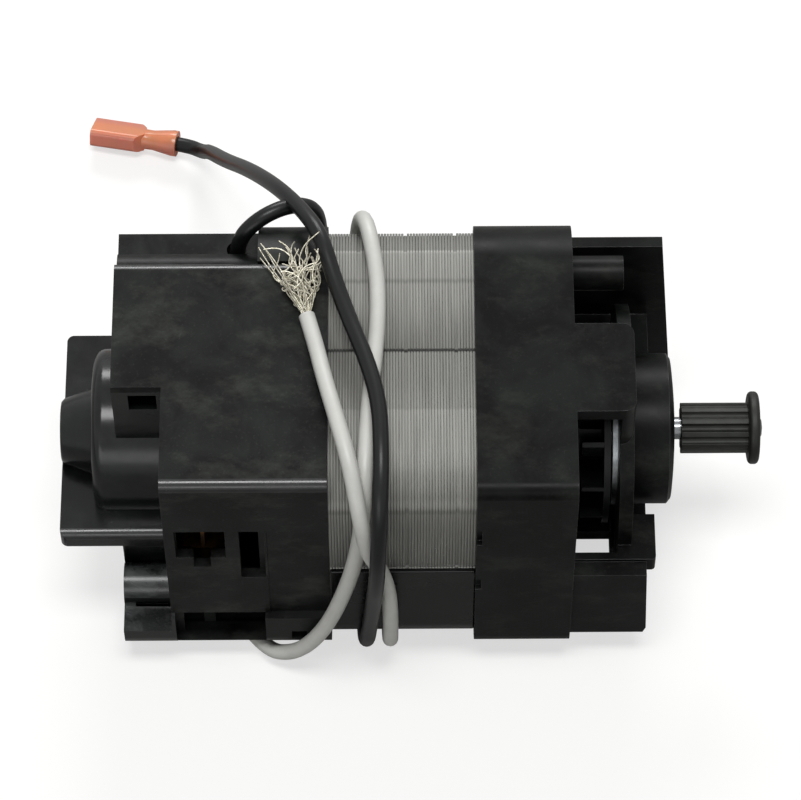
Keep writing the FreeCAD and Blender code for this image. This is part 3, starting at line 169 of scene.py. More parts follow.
# matt card: an even pale ground without any shine
card, card_tree, card_shader = new_material(
    "matt_white_card", Base_Color=linear("#acacaa"), Roughness=0.95, Specular_IOR_Level=0.1,
    Emission_Color=linear("#ffffff"))
card_ray = add_node(card_tree, "ShaderNodeLightPath")
card_seen = add_node(card_tree, "ShaderNodeMath", {
    0: card_ray.outputs["Is Camera Ray"], 1: card_ray.outputs["Is Transmission Ray"]}, operation="MAXIMUM")
card_glow = add_node(card_tree, "ShaderNodeMath", {0: card_seen, 1: CARD_GLOW}, operation="MULTIPLY")
card_tree.links.new(card_glow.outputs[0], card_shader.inputs["Emission Strength"])
floor_mesh.materials.append(card)

# Stator stack: fifty sheets of silicon steel, each punched with its two poles, pressed together and clamped
# by the long bolts. Bare cut edges show all round, in slightly uneven lines. A plain core closes their gaps.
SHEETS = 50
STACK_HALF = 33.0
CORNER_START = 24.0
CORNER_LOW = 27.4
CORNER_MIDDLE = 30.1
CORNER_HIGH = 31.9
GROOVE_HALF = 0.25
GROOVE_DEPTH = 0.9
BORE = 17.9
SHOE_BACK = 20.8
YOKE_BORE = 27.0
POLE_HALF = 9.5
SHOE_ANGLE = 62.0
BOLT_PLACE = 24.0
BOLT_HOLE = 2.0
HOLE_SIDES = 12
SHEET_SHARE = 0.8
SHEET_SHIFT = 0.015
EDGE_BREAK = 0.06
# three sheets, evenly spread, lie a little further in
STEP_FIRST = 9.3
STEP_EVERY = SHEETS / 3
STEP_SHARE = 0.06
STEP_SCALE = 0.9894
CORE_SCALE = 0.987
# one shade of grey for each sheet, drawn out to 17 mm along its edge
SHEET_LINES = (1640, 60, 60)
# painted highlights and shades in bands along the shaft, as brightness by their place in mm across the
# stack's top
# and by their height on its corners: a dark line in the centre groove, bright lines where the corners round
TOP_PAINTED_LIGHT = [(-14.2, 1.0), (-13.8, 0.8), (-0.5, 0.82), (-0.3, 0.25), (0.3, 0.25), (0.5, 1.0), (16.0, 1.0),
             (16.8, 0.68), (17.6, 1.0), (23.6, 1.0), (24.0, 1.35), (24.4, 0.72)]
CORNER_PAINTED_LIGHT = [(22.6, 1.0), (23.4, 0.72), (24.2, 0.8), (24.9, 1.25), (26.0, 1.3), (27.6, 1.0)]
# numbers of the sockets whose names a node uses more than once
MIX_FIRST, MIX_SECOND, MIX_RESULT = 6, 7, 2
LEAST, MOST, RANDOM_NUMBER = 2, 3, 1


def arc_points(radius, start, end, steps):
    """Points (y, z) on a circle about the shaft, between two angles from the top, in degrees."""
    angles = [math.radians(start + (end - start) * i / steps) for i in range(steps + 1)]
    return [(radius * math.sin(a), radius * math.cos(a)) for a in angles]


def sheet_outline():
    """The sheet's outer edge: four sides with a centre groove each, and clipped round corners."""
    points = []
    for quarter in range(4):
        side = [(-GROOVE_HALF, STACK_HALF), (-GROOVE_HALF, STACK_HALF - GROOVE_DEPTH),
                (GROOVE_HALF, STACK_HALF - GROOVE_DEPTH), (GROOVE_HALF, STACK_HALF),
                (CORNER_START, STACK_HALF), (CORNER_LOW, CORNER_HIGH), (CORNER_MIDDLE, CORNER_MIDDLE),
                (CORNER_HIGH, CORNER_LOW), (STACK_HALF, CORNER_START)]
        turn = math.radians(90 * quarter)
        points += [(y * math.cos(turn) + z * math.sin(turn), z * math.cos(turn) - y * math.sin(turn))
                   for y, z in side]
    return points


def sheet_opening():
    """The sheet's inner edge: the bore, the pole shoes and the two coil spaces."""
    pole_shoe = math.degrees(math.asin(POLE_HALF / SHOE_BACK))
    pole_yoke = math.degrees(math.asin(POLE_HALF / YOKE_BORE))
    points = []
    for pole in (0, 180):
        points += arc_points(SHOE_BACK, pole - pole_shoe, pole - SHOE_ANGLE, 6)
        points += arc_points(BORE, pole - SHOE_ANGLE, pole + SHOE_ANGLE, 20)
        points += arc_points(SHOE_BACK, pole + SHOE_ANGLE, pole + pole_shoe, 6)
        points += arc_points(YOKE_BORE, pole + pole_yoke, pole + 180 - pole_yoke, 16)
    return points


def flat_plate(name, outlines, thickness, edge):
    """A plate from closed outlines in mm with broken edges, as a mesh in metres that lies across X."""
    curve = bpy.data.curves.new(name, "CURVE")
    curve.dimensions = "2D"
    curve.fill_mode = "BOTH"
    curve.extrude = thickness / 2 - edge
    curve.bevel_depth = edge
    curve.bevel_resolution = 0
    for outline in outlines:
        spline = curve.splines.new("POLY")
        spline.points.add(len(outline) - 1)
        for point, (y, z) in zip(spline.points, outline):
            point.co = (y, z, 0, 1)
        spline.use_cyclic_u = True
    holder = bpy.data.objects.new(name, curve)
    mesh = bpy.data.meshes.new_from_object(holder)
    bpy.data.objects.remove(holder)
    mesh.transform(Matrix(((0, 0, MM, 0), (MM, 0, 0, 0), (0, MM, 0, 0), (0, 0, 0, 1))))
    return mesh


def new_piece(name, mesh, *materials):
    """A mesh object in the scene at the origin, with its materials."""
    piece = bpy.data.objects.new(name, mesh)
    bpy.context.scene.collection.objects.link(piece)
    for material in materials:
        mesh.materials.append(material)
    return piece


def baked(piece):
    """The piece with its modifiers worked into a plain mesh."""
    bpy.context.view_layer.update()
    graph = bpy.context.evaluated_depsgraph_get()
    mesh = bpy.data.meshes.new_from_object(piece.evaluated_get(graph))
    piece.modifiers.clear()
    piece.data = mesh
    return piece


def geometry_tree(name, sizes):
    """A geometry tree with an input and an output for the mesh, and named inputs for its sizes."""
    tree = bpy.data.node_groups.new(name, "GeometryNodeTree")
    tree.interface.new_socket("Geometry", in_out="OUTPUT", socket_type="NodeSocketGeometry")
    tree.interface.new_socket("Geometry", in_out="INPUT", socket_type="NodeSocketGeometry")
    for label, kind in sizes.items():
        tree.interface.new_socket(label, in_out="INPUT", socket_type=kind)
    return tree, add_node(tree, "NodeGroupInput"), add_node(tree, "NodeGroupOutput")


def run_tree(piece, tree, values):
    """Runs a geometry tree on a piece with its sizes set, and keeps the result as a plain mesh."""
    modifier = piece.modifiers.new(tree.name, "NODES")
    modifier.node_group = tree
    for item in tree.interface.items_tree:
        if item.in_out == "INPUT" and item.name in values:
            modifier[item.identifier] = values[item.name]
    return baked(piece)


def keep(piece, body, slot, *nodes):
    """Hides the CAD pieces that a piece stands for and hangs it on the body that it moves with. The slot is
    not used.
    """
    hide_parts(*nodes)
    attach(piece, body)


# cut silicon steel: dull grey, a little lighter or darker from sheet to sheet, with painted highlights and
# shades
sheet_steel, steel_tree, steel_shader = new_material("punched_silicon_steel", Metallic=0.3, Roughness=0.62)
steel_place = add_node(steel_tree, "ShaderNodeTexCoord").outputs["Object"]
steel_lines = add_node(steel_tree, "ShaderNodeMapping", {"Vector": steel_place, "Scale": SHEET_LINES})
steel_tint = add_node(steel_tree, "ShaderNodeTexNoise", {"Vector": steel_lines, "Scale": 1.0, "Detail": 3.0})
steel_ramp = add_node(steel_tree, "ShaderNodeValToRGB", {"Fac": steel_tint})
for stop, position, grey in zip(steel_ramp.color_ramp.elements, (0.3, 0.7), ("#80807c", "#959590")):
    stop.position = position
    stop.color = linear(grey)
steel_axes = add_node(steel_tree, "ShaderNodeSeparateXYZ", {"Vector": steel_place})
steel_colour = steel_ramp.outputs["Color"]
# painted highlights and shades: each band of brightness multiplies the steel's colour, and the back of the
# top is darker
for axis, far_painted_shade, painted_light_bands in (("Y", 0.72, TOP_PAINTED_LIGHT), ("Z", 1.0, CORNER_PAINTED_LIGHT)):
    across = add_node(steel_tree, "ShaderNodeMapRange", {
        "Value": steel_axes.outputs[axis], "From Min": -STACK_HALF * MM, "From Max": STACK_HALF * MM})
    steel_painted_light = add_node(steel_tree, "ShaderNodeValToRGB", {"Fac": across})
    stops = steel_painted_light.color_ramp.elements
    stops[0].color = (1.0, 1.0, 1.0, 1.0)
    stops[1].color = (far_painted_shade, far_painted_shade, far_painted_shade, 1.0)
    for place, shade in painted_light_bands:
        stops.new((place + STACK_HALF) / (2 * STACK_HALF)).color = (shade, shade, shade, 1.0)
    steel_with_painted_light = add_node(steel_tree, "ShaderNodeMix", {
        "Factor": 1.0, MIX_FIRST: steel_colour, MIX_SECOND: steel_painted_light},
        data_type="RGBA", blend_type="MULTIPLY")
    steel_colour = steel_with_painted_light.outputs[MIX_RESULT]
steel_tree.links.new(steel_colour, steel_shader.inputs["Base Color"])

stack_low, stack_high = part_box("stator_stack")
pitch = (stack_high.x - stack_low.x) / SHEETS
bolt_holes = [[(place + y, place + z) for y, z in arc_points(BOLT_HOLE, 0, 360, HOLE_SIDES)[:-1]]
              for place in (BOLT_PLACE, -BOLT_PLACE)]
one_sheet = flat_plate("steel_sheet", [sheet_outline(), sheet_opening()] + bolt_holes,
                       pitch / MM * SHEET_SHARE, EDGE_BREAK)
stack_tree, stack_in, stack_out = geometry_tree("stack_of_sheets", {
    "Sheets": "NodeSocketInt", "Pitch": "NodeSocketFloat", "Start": "NodeSocketFloat",
    "Shift": "NodeSocketFloat", "Steel": "NodeSocketMaterial"})
row_start = add_node(stack_tree, "ShaderNodeCombineXYZ", {"X": stack_in.outputs["Start"]})
row_pitch = add_node(stack_tree, "ShaderNodeCombineXYZ", {"X": stack_in.outputs["Pitch"]})
row = add_node(stack_tree, "GeometryNodeMeshLine", {
    "Count": stack_in.outputs["Sheets"], "Start Location": row_start, "Offset": row_pitch})
most_shift = stack_in.outputs["Shift"]
least_shift = add_node(stack_tree, "ShaderNodeMath", {0: most_shift, 1: -1.0}, operation="MULTIPLY")
shift_y, shift_z = [add_node(stack_tree, "FunctionNodeRandomValue", {
    LEAST: least_shift, MOST: most_shift, "Seed": seed}).outputs[RANDOM_NUMBER] for seed in (11, 12)]
shifts = add_node(stack_tree, "ShaderNodeCombineXYZ", {"Y": shift_y, "Z": shift_z})
moved_row = add_node(stack_tree, "GeometryNodeSetPosition", {"Geometry": row, "Offset": shifts})
sheet_number = add_node(stack_tree, "GeometryNodeInputIndex")
past_first = add_node(stack_tree, "ShaderNodeMath", {0: sheet_number, 1: STEP_FIRST}, operation="SUBTRACT")
steps = add_node(stack_tree, "ShaderNodeMath", {0: past_first, 1: STEP_EVERY}, operation="DIVIDE")
past_step = add_node(stack_tree, "ShaderNodeMath", {0: steps}, operation="FRACT")
is_step = add_node(stack_tree, "ShaderNodeMath", {0: past_step, 1: STEP_SHARE}, operation="LESS_THAN")
sheet_scale = add_node(stack_tree, "ShaderNodeMath", {0: is_step, 1: STEP_SCALE - 1, 2: 1.0},
                       operation="MULTIPLY_ADD")
sheet_scales = add_node(stack_tree, "ShaderNodeCombineXYZ", {"X": 1.0, "Y": sheet_scale, "Z": sheet_scale})
sheets = add_node(stack_tree, "GeometryNodeInstanceOnPoints", {
    "Points": moved_row, "Instance": stack_in.outputs["Geometry"], "Scale": sheet_scales})
core = add_node(stack_tree, "GeometryNodeTransform", {
    "Geometry": stack_in.outputs["Geometry"], "Scale": (SHEETS / SHEET_SHARE, CORE_SCALE, CORE_SCALE),
    "Translation": ((stack_low.x + stack_high.x) / 2, 0, 0)})
whole = add_node(stack_tree, "GeometryNodeJoinGeometry")
for joined in (core, sheets):
    stack_tree.links.new(joined.outputs[0], whole.inputs[0])
real_sheets = add_node(stack_tree, "GeometryNodeRealizeInstances", {"Geometry": whole})
steel_sheets = add_node(stack_tree, "GeometryNodeSetMaterial", {
    "Geometry": real_sheets, "Material": stack_in.outputs["Steel"]})
stack_tree.links.new(steel_sheets.outputs["Geometry"], stack_out.inputs["Geometry"])
stack = run_tree(new_piece("lamination_stack", one_sheet, sheet_steel), stack_tree, {
    "Sheets": SHEETS, "Pitch": pitch, "Start": stack_low.x + pitch / 2, "Shift": SHEET_SHIFT * MM,
    "Steel": sheet_steel})
keep(stack, "root", "lamination_steel", "stator_stack")

# Drive-end housing: one black glass-filled moulding with the fan bay, the end wall and the bearing's boss.
# It is clamped on the stack by the long bolts. Its edges are slightly rounded, shinier and painted paler as a
# highlight.
SOFT_ANGLE = math.radians(35)
FLAT_ANGLE = math.radians(1)
WELD = 1e-6
ROLL_STEPS = 7
LEVEL_GAP = 0.01
EDGE_SLOT = 1
# widths in mm of the marks on moulded plastic; its glass grain is nearer 0.1 mm, drawn coarser to show
CLOUD_WIDTH = 13
SPECK_WIDTH = 0.6
SMEAR_WIDTHS = (15, 9, 9)
GRAIN_WIDTH = 0.28


def roll_edge(work, side, edge_y, top_z, radius, ends):
    """Rolls a flat top down to its long edge on a radius in mm, and gives the roll the second material."""
    for step in range(ROLL_STEPS):
        depth = radius * (1 - math.sin(math.radians(90 * step / ROLL_STEPS)))
        bmesh.ops.bisect_plane(work, geom=work.verts[:] + work.edges[:] + work.faces[:], dist=WELD,
                               plane_co=(0, (edge_y + side * depth) * MM, 0), plane_no=(0, 1, 0))
    rolled = set()
    for vert in work.verts:
        x, y, z = (place / MM for place in vert.co)
        depth = side * (y - edge_y)
        along = ends[0] < x < ends[1]
        if along and -LEVEL_GAP < depth < radius and top_z - radius < z < top_z + LEVEL_GAP:
            fall = radius - math.sqrt(max(radius ** 2 - (radius - depth) ** 2, 0))
            vert.co.z = min(vert.co.z, (top_z - fall) * MM)
            rolled.add(vert)
    for face in work.faces:
        near_edge = side * (face.calc_center_median().y / MM - edge_y) < radius
        looks_up = abs(face.normal.x) < 0.1 and face.normal.z > 0.02
        if near_edge and looks_up and all(
                vert in rolled or abs(vert.co.z / MM - top_z) < LEVEL_GAP for vert in face.verts):
            face.material_index = EDGE_SLOT


def softened(name, node, width, materials, segments=2, rolls=()):
    """A copy of a CAD piece with its sharp edges rounded by a width in mm, and some long ones rolled over.

    The second of its materials, if it has one, goes on the rounded edges.
    """
    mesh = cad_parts[node].data.copy()
    mesh.materials.clear()
    for old_shading in ("custom_normal", "sharp_edge"):
        if old_shading in mesh.attributes:
            mesh.attributes.remove(mesh.attributes[old_shading])
    work = bmesh.new()
    work.from_mesh(mesh)
    bmesh.ops.remove_doubles(work, verts=work.verts, dist=WELD)
    bmesh.ops.dissolve_limit(work, angle_limit=FLAT_ANGLE, verts=work.verts, edges=work.edges)
    for side, edge_y, top_z, radius, ends in rolls:
        roll_edge(work, side, edge_y, top_z, radius, ends)
    work.to_mesh(mesh)
    work.free()
    piece = new_piece(name, mesh, *materials)
    bevel = piece.modifiers.new("rounded_edges", "BEVEL")
    bevel.width = width * MM
    bevel.segments = segments
    bevel.limit_method = "ANGLE"
    bevel.angle_limit = SOFT_ANGLE
    bevel.material = min(len(materials) - 1, EDGE_SLOT)
    mesh.shade_smooth()
    flat_faces = piece.modifiers.new("flat_faces", "WEIGHTED_NORMAL")
    flat_faces.keep_sharp = True
    flat_faces.weight = 100
    return baked(piece)


def black_moulding(name, dark, light, roughness, dust, shine):
    """Glass-filled black plastic: fine grain, wide clouds, soft grey smears of dust and a few specks."""
    material, tree, shader = new_material(name, Specular_IOR_Level=shine)
    place = add_node(tree, "ShaderNodeTexCoord").outputs["Object"]
    clouds = add_node(tree, "ShaderNodeTexNoise", {
        "Vector": place, "Scale": 1 / (CLOUD_WIDTH * MM), "Detail": 8.0, "Roughness": 0.62,
        "Distortion": 0.6})
    shades = add_node(tree, "ShaderNodeValToRGB", {"Fac": clouds})
    for stop, position, colour in zip(shades.color_ramp.elements, (0.42, 0.64), (dark, light)):
        stop.position = position
        stop.color = linear(colour)
    specks = add_node(tree, "ShaderNodeTexNoise", {
        "Vector": place, "Scale": 1 / (SPECK_WIDTH * MM), "Detail": 2.0})
    speck = add_node(tree, "ShaderNodeMapRange", {
        "Value": specks, "From Min": 0.6, "From Max": 0.8, "To Max": 0.08 * dust})
    drawn_out = add_node(tree, "ShaderNodeMapping", {
        "Vector": place, "Rotation": (0.3, 0.2, 0.7), "Scale": [1 / (width * MM) for width in SMEAR_WIDTHS]})
    smears = add_node(tree, "ShaderNodeTexNoise", {
        "Vector": drawn_out, "Scale": 1.0, "Detail": 6.0, "Roughness": 0.7})
    smear = add_node(tree, "ShaderNodeMapRange", {
        "Value": smears, "From Min": 0.5, "From Max": 0.8, "To Max": 0.22 * dust})
    pale = add_node(tree, "ShaderNodeMath", {0: speck, 1: smear}, operation="ADD")
    dusty = add_node(tree, "ShaderNodeMix", {
        "Factor": pale, MIX_FIRST: shades, MIX_SECOND: linear("#74776f")}, data_type="RGBA")
    tree.links.new(dusty.outputs[MIX_RESULT], shader.inputs["Base Color"])
    uneven = add_node(tree, "ShaderNodeMapRange", {
        "Value": clouds, "From Min": 0.3, "From Max": 0.7,
        "To Min": roughness - 0.07, "To Max": roughness + 0.1})
    tree.links.new(uneven.outputs["Result"], shader.inputs["Roughness"])
    grain = add_node(tree, "ShaderNodeTexNoise", {
        "Vector": place, "Scale": 1 / (GRAIN_WIDTH * MM), "Detail": 2.0})
    bump = add_node(tree, "ShaderNodeBump", {"Height": grain, "Strength": 0.12, "Distance": 0.05 * MM})
    tree.links.new(bump.outputs["Normal"], shader.inputs["Normal"])
    return material


# the same plastic on the rounded edges: shinier, and painted paler as a highlight
edge_painted_highlight = black_moulding("polyamide_edge_painted_highlight", "#0c0d0d", "#1b1e1d", 0.24, 0.4, 0.5)
# glass-filled black polyamide: nearly black and satin from the mould
drive_plastic = black_moulding("black_polyamide_drive_end", "#020302", "#121513", 0.4, 0.6, 0.09)
keep(softened("moulded_drive_end", "drive_end_housing", 0.35, [drive_plastic, edge_painted_highlight]), "root",
     "moulded_black", "drive_end_housing")

# Commutator-end housing: the same black moulding with the brush compartment, the ledge for the leads, the
# round rear bearing carrier and the flat mounting tongue, whose long edge is rolled over. The carrier's end
# and its feet come from the polished part of the mould.
TONGUE_EDGE = -23.4
TONGUE_TOP = -3.4
TONGUE_END = -126
TONGUE_ROLL = 1.8
GLOSSY_END = -99.2
FOOT_TOP = -18.0
POLISHED_SLOT = 2
FOOT_REFLECTION_SLOT = 3
# the same plastic, a shade greyer, with clouds of dust on its flat walls
comm_plastic = black_moulding("black_polyamide_commutator_end", "#050605", "#1a1d1b", 0.38, 0.7, 0.14)
# the same plastic off the polished part of the mould: deep black with clear reflections
polished_plastic = black_moulding("polished_black_polyamide", "#040505", "#0e1111", 0.2, 0.3, 0.3)
# the polished feet's upward faces, painted a cloudy grey as a reflection of the lamps
foot_painted_reflection = black_moulding("black_polyamide_painted_reflection", "#151717", "#5c6060", 0.26, 1.0, 0.4)
commutator_end = softened(
    "moulded_commutator_end", "commutator_end_housing", 0.35,
    [comm_plastic, edge_painted_highlight, polished_plastic, foot_painted_reflection],
    rolls=[(1, TONGUE_EDGE, TONGUE_TOP, TONGUE_ROLL, (TONGUE_END, GLOSSY_END))])
for face in commutator_end.data.polygons:
    if face.material_index != EDGE_SLOT and face.center.x < GLOSSY_END * MM:
        # painted reflection: the feet's faces that look up take the cloudy grey
        foot_faces_up = face.center.z < FOOT_TOP * MM and face.normal.z > 0.3
        face.material_index = FOOT_REFLECTION_SLOT if foot_faces_up else POLISHED_SLOT
keep(commutator_end, "root", "moulded_black", "commutator_end_housing")

# Terminal cover: a thin black moulding that clips over the brush compartment, with a front skirt and two
# brush windows. Its long edges are rolled over, and its flat top is the dustiest face of the motor.
COVER_ROLL = 2.1
# the same plastic, grey with dust and handling marks
cover_plastic = black_moulding("black_polyamide_cover", "#030403", "#181b19", 0.42, 1.0, 0.12)
cover_low, cover_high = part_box("terminal_cover")
cover_top = cover_high.z / MM
cover_ends = (cover_low.x / MM - 1, cover_high.x / MM + 1)
keep(softened("moulded_terminal_cover", "terminal_cover", 0.3, [cover_plastic, edge_painted_highlight],
              rolls=[(1, cover_low.y / MM, cover_top, COVER_ROLL, cover_ends),
                     (-1, cover_high.y / MM, cover_top, COVER_ROLL, cover_ends)]),
     "root", "moulded_black", "terminal_cover")

# Lower stack cover: a smooth thin black tray round the lower half of the stack between the two housings,
# which darkens the stack's lower flank as painted shade.
# painted shade: an even deep black with a wet shine and hardly any dust
painted_shade_black = black_moulding("black_tray_painted_shade", "#050505", "#0b0c0b", 0.24, 0.25, 0.16)
keep(softened("black_stack_tray", "lower_stack_cover", 0.25, [painted_shade_black]), "root", "tray_black",
     "lower_stack_cover")

# Fan: a small wheel moulded in plain black plastic, with curved blades on a disc. It is pressed on the
# shaft beside the drive-end bearing and blows air out of the fan bay.
# plain moulded black: a little greyer than the housings, from the dust that it draws in
fan_plastic = black_moulding("black_fan_plastic", "#0b0c0c", "#141716", 0.36, 0.3, 0.2)
keep(softened("moulded_fan", "fan", 0.15, [fan_plastic], segments=1), "rotor", "fan_plastic", "fan")

# Field coils: hundreds of turns of enamelled copper wire, formed to saddles round the two poles and
# varnished. Pressed board keeps their end turns off the stack.
FIELD_WIRE = 0.62
VARNISH_RUNS = 1.5
STACK_MIDDLE = -52.45
STACK_REACH = 15.5
COIL_RADIUS = 24.0


def dress(material, *nodes):
    """Gives CAD pieces that are kept as they are their real material."""
    for node in nodes:
        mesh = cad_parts[node].data
        mesh.materials.clear()
        mesh.materials.append(material)


def wound_copper(name, light, dark, wire):
    """Varnished wire: rows of round turns, along the poles at the sides and round the shaft at the ends, with
    painted shade between the turns.
    """
    material, tree, shader = new_material(
        name, Metallic=0.85, Roughness=0.34, Coat_Weight=0.5, Coat_Roughness=0.2)
    place = add_node(tree, "ShaderNodeTexCoord").outputs["Object"]
    axes = add_node(tree, "ShaderNodeSeparateXYZ", {"Vector": place})
    x, y, z = axes.outputs
    flat = add_node(tree, "ShaderNodeCombineXYZ", {"Y": y, "Z": z})
    radius = add_node(tree, "ShaderNodeVectorMath", {0: flat}, operation="LENGTH").outputs["Value"]
    angle = add_node(tree, "ShaderNodeMath", {0: y, 1: z}, operation="ARCTAN2")
    round_pole = add_node(tree, "ShaderNodeMath", {0: angle, 1: COIL_RADIUS * MM}, operation="MULTIPLY")
    from_middle = add_node(tree, "ShaderNodeMath", {0: x, 1: STACK_MIDDLE * MM}, operation="SUBTRACT")
    from_middle = add_node(tree, "ShaderNodeMath", {0: from_middle}, operation="ABSOLUTE")
    at_end = add_node(tree, "ShaderNodeMath", {0: from_middle, 1: STACK_REACH * MM}, operation="GREATER_THAN")
    across = add_node(tree, "ShaderNodeMix", {"Factor": at_end, "A": round_pole, "B": x}, data_type="FLOAT")
    waves = []
    for along in (across, radius):
        phase = add_node(tree, "ShaderNodeMath", {0: along, 1: math.pi / (wire * MM)}, operation="MULTIPLY")
        wave = add_node(tree, "ShaderNodeMath", {0: phase}, operation="SINE")
        waves.append(add_node(tree, "ShaderNodeMath", {0: wave}, operation="ABSOLUTE"))
    height = add_node(tree, "ShaderNodeMath", {0: waves[0], 1: waves[1]}, operation="MULTIPLY")
    tint = add_node(tree, "ShaderNodeTexNoise", {
        "Vector": place, "Scale": 1 / (VARNISH_RUNS * MM), "Detail": 3.0})
    shade = add_node(tree, "ShaderNodeMath", {0: tint, 1: 0.4}, operation="ADD")
    depth = add_node(tree, "ShaderNodeMath", {0: height, 1: shade}, operation="MULTIPLY")
    # painted shade: dark in the valleys between turns, light on their crowns
    colour = add_node(tree, "ShaderNodeMix", {
        "Factor": depth, MIX_FIRST: linear(dark), MIX_SECOND: linear(light)}, data_type="RGBA")
    tree.links.new(colour.outputs[MIX_RESULT], shader.inputs["Base Color"])
    bump = add_node(tree, "ShaderNodeBump", {"Height": height, "Strength": 0.9, "Distance": 0.3 * MM})
    tree.links.new(bump.outputs["Normal"], shader.inputs["Normal"])
    return material


# enamelled copper wire under amber varnish: warm brown turns with a soft shine, painted darker between the
# turns
dress(wound_copper("varnished_copper_wire", "#b5622f", "#4d2110", FIELD_WIRE), "upper_field_coil",
      "lower_field_coil")


def plain_material(name, light, dark, grain_mm, bump_mm, **sockets):
    """A material with two shades in a fine random grain, and a bump of the same grain."""
    material, tree, shader = new_material(name, **sockets)
    place = add_node(tree, "ShaderNodeTexCoord").outputs["Object"]
    grain = add_node(tree, "ShaderNodeTexNoise", {
        "Vector": place, "Scale": 1 / (grain_mm * MM), "Detail": 5.0, "Roughness": 0.6})
    shade = add_node(tree, "ShaderNodeMapRange", {"Value": grain, "From Min": 0.35, "From Max": 0.65})
    colour = add_node(tree, "ShaderNodeMix", {
        "Factor": shade, MIX_FIRST: linear(dark), MIX_SECOND: linear(light)}, data_type="RGBA")
    tree.links.new(colour.outputs[MIX_RESULT], shader.inputs["Base Color"])
    bump = add_node(tree, "ShaderNodeBump", {"Height": grain, "Strength": 0.5, "Distance": bump_mm * MM})
    tree.links.new(bump.outputs["Normal"], shader.inputs["Normal"])
    return material


# grey-white pressed board with short fibres
dress(plain_material("pressed_insulation_board", "#d6cdb4", "#b9ae90", 0.5, 0.04, Roughness=0.85),
      "end_insulators")

# Through bolts: two long zinc-plated steel bolts with slotted round heads, which clamp both housings
# to the stack.
# zinc plating: pale blue-grey, faintly cloudy
zinc_steel = plain_material("zinc_plated_steel", "#b9bcbf", "#8d9194", 1.2, 0.01, Metallic=1.0, Roughness=0.3)
dress(zinc_steel, "through_bolts")

# Brush gear: stamped brass holders held down by spring-steel straps, and pressed carbon brushes pushed
# in by rolled strip springs.
# stamped brass, tarnished brown by heat and carbon dust
dress(plain_material("tarnished_brass", "#4a3319", "#1f160d", 2.2, 0.02, Metallic=0.9, Roughness=0.42),
      "brush_holders")
# blue-grey tempered spring strip
spring_steel = plain_material(
    "tempered_spring_steel", "#8b8d90", "#5b5d60", 0.8, 0.01, Metallic=1.0, Roughness=0.3)
dress(spring_steel, "brush_clips", "front_brush_spring", "rear_brush_spring")
# pressed carbon: dull, with fine sparkling grain
carbon = plain_material(
    "pressed_carbon", "#2a2a2c", "#151516", 0.25, 0.03, Roughness=0.55, Specular_IOR_Level=0.6)
dress(carbon, "front_brush", "rear_brush")

# Shaft: one bar of steel, turned in steps and ground, from the rear bush to the rounded tip outside the
# pulley. The rotor's pieces are pressed on it.
# ground steel: bright grey, with fine rings left by the grinding wheel, 0.05 mm apart
GRINDING_RINGS = (0.05, 2, 2)
shaft_steel, shaft_tree, shaft_shader = new_material(
    "ground_steel", Metallic=1.0, Roughness=0.22, Base_Color=linear("#7f8183"))
shaft_place = add_node(shaft_tree, "ShaderNodeTexCoord").outputs["Object"]
shaft_rings = add_node(shaft_tree, "ShaderNodeMapping", {
    "Vector": shaft_place, "Scale": [1 / (width * MM) for width in GRINDING_RINGS]})
shaft_lines = add_node(shaft_tree, "ShaderNodeTexNoise", {"Vector": shaft_rings, "Scale": 1.0})
shaft_bump = add_node(shaft_tree, "ShaderNodeBump", {
    "Height": shaft_lines, "Strength": 0.2, "Distance": 0.01 * MM})
shaft_tree.links.new(shaft_bump.outputs["Normal"], shaft_shader.inputs["Normal"])
dress(shaft_steel, "shaft")

# Pulley: sintered steel with twelve belt teeth and a rounded flange, pressed on the shaft's neck.
# It is steam-treated against rust.
# steam-treated steel: dark grey-green clouds on a dull metal, with fine pores all over
PORE_WIDTH = 0.35
STEAM_CLOUDS = 3
sintered, sintered_tree, sintered_shader = new_material(
    "steam_treated_sintered_steel", Metallic=0.55, Roughness=0.5)
sintered_place = add_node(sintered_tree, "ShaderNodeTexCoord").outputs["Object"]
pores = add_node(sintered_tree, "ShaderNodeTexVoronoi", {
    "Vector": sintered_place, "Scale": 1 / (PORE_WIDTH * MM)})
sintered_clouds = add_node(sintered_tree, "ShaderNodeTexNoise", {
    "Vector": sintered_place, "Scale": 1 / (STEAM_CLOUDS * MM), "Detail": 5.0})
sintered_colour = add_node(sintered_tree, "ShaderNodeMix", {
    "Factor": sintered_clouds, MIX_FIRST: linear("#0b0c0a"), MIX_SECOND: linear("#2b2d28")}, data_type="RGBA")
sintered_tree.links.new(sintered_colour.outputs[MIX_RESULT], sintered_shader.inputs["Base Color"])
sintered_bump = add_node(sintered_tree, "ShaderNodeBump", {
    "Height": pores.outputs["Distance"], "Strength": 0.3, "Distance": 0.06 * MM})
sintered_tree.links.new(sintered_bump.outputs["Normal"], sintered_shader.inputs["Normal"])
keep(softened("toothed_pulley", "pulley", 0.15, [sintered]), "rotor", "dark_pulley_steel", "pulley")

# Armature: laminated core of the same steel sheet, wound with enamelled copper and dipped in varnish,
# so the end turns are one brown bundle.
ARMATURE_WIRE = 0.5
dress(sheet_steel, "armature_core")
# copper wire under a thick coat of varnish, browner than the field coils
dress(wound_copper("dipped_copper_wire", "#8f4a22", "#3a190b", ARMATURE_WIRE), "armature_windings")

# Commutator: hard-drawn copper bars on a moulded phenolic hub. The bars are turned smooth after they are
# moulded in.
# turned copper, browned by the brushes
commutator_copper = plain_material(
    "turned_commutator_copper", "#b87850", "#8a5136", 0.6, 0.006, Metallic=1.0, Roughness=0.28)
dress(commutator_copper, "commutator_bars")
# brown phenolic resin: dull, with the cloudy mottle of its filler
dress(plain_material("brown_phenolic", "#3b241a", "#26150f", 0.7, 0.02, Roughness=0.5), "commutator_hub")

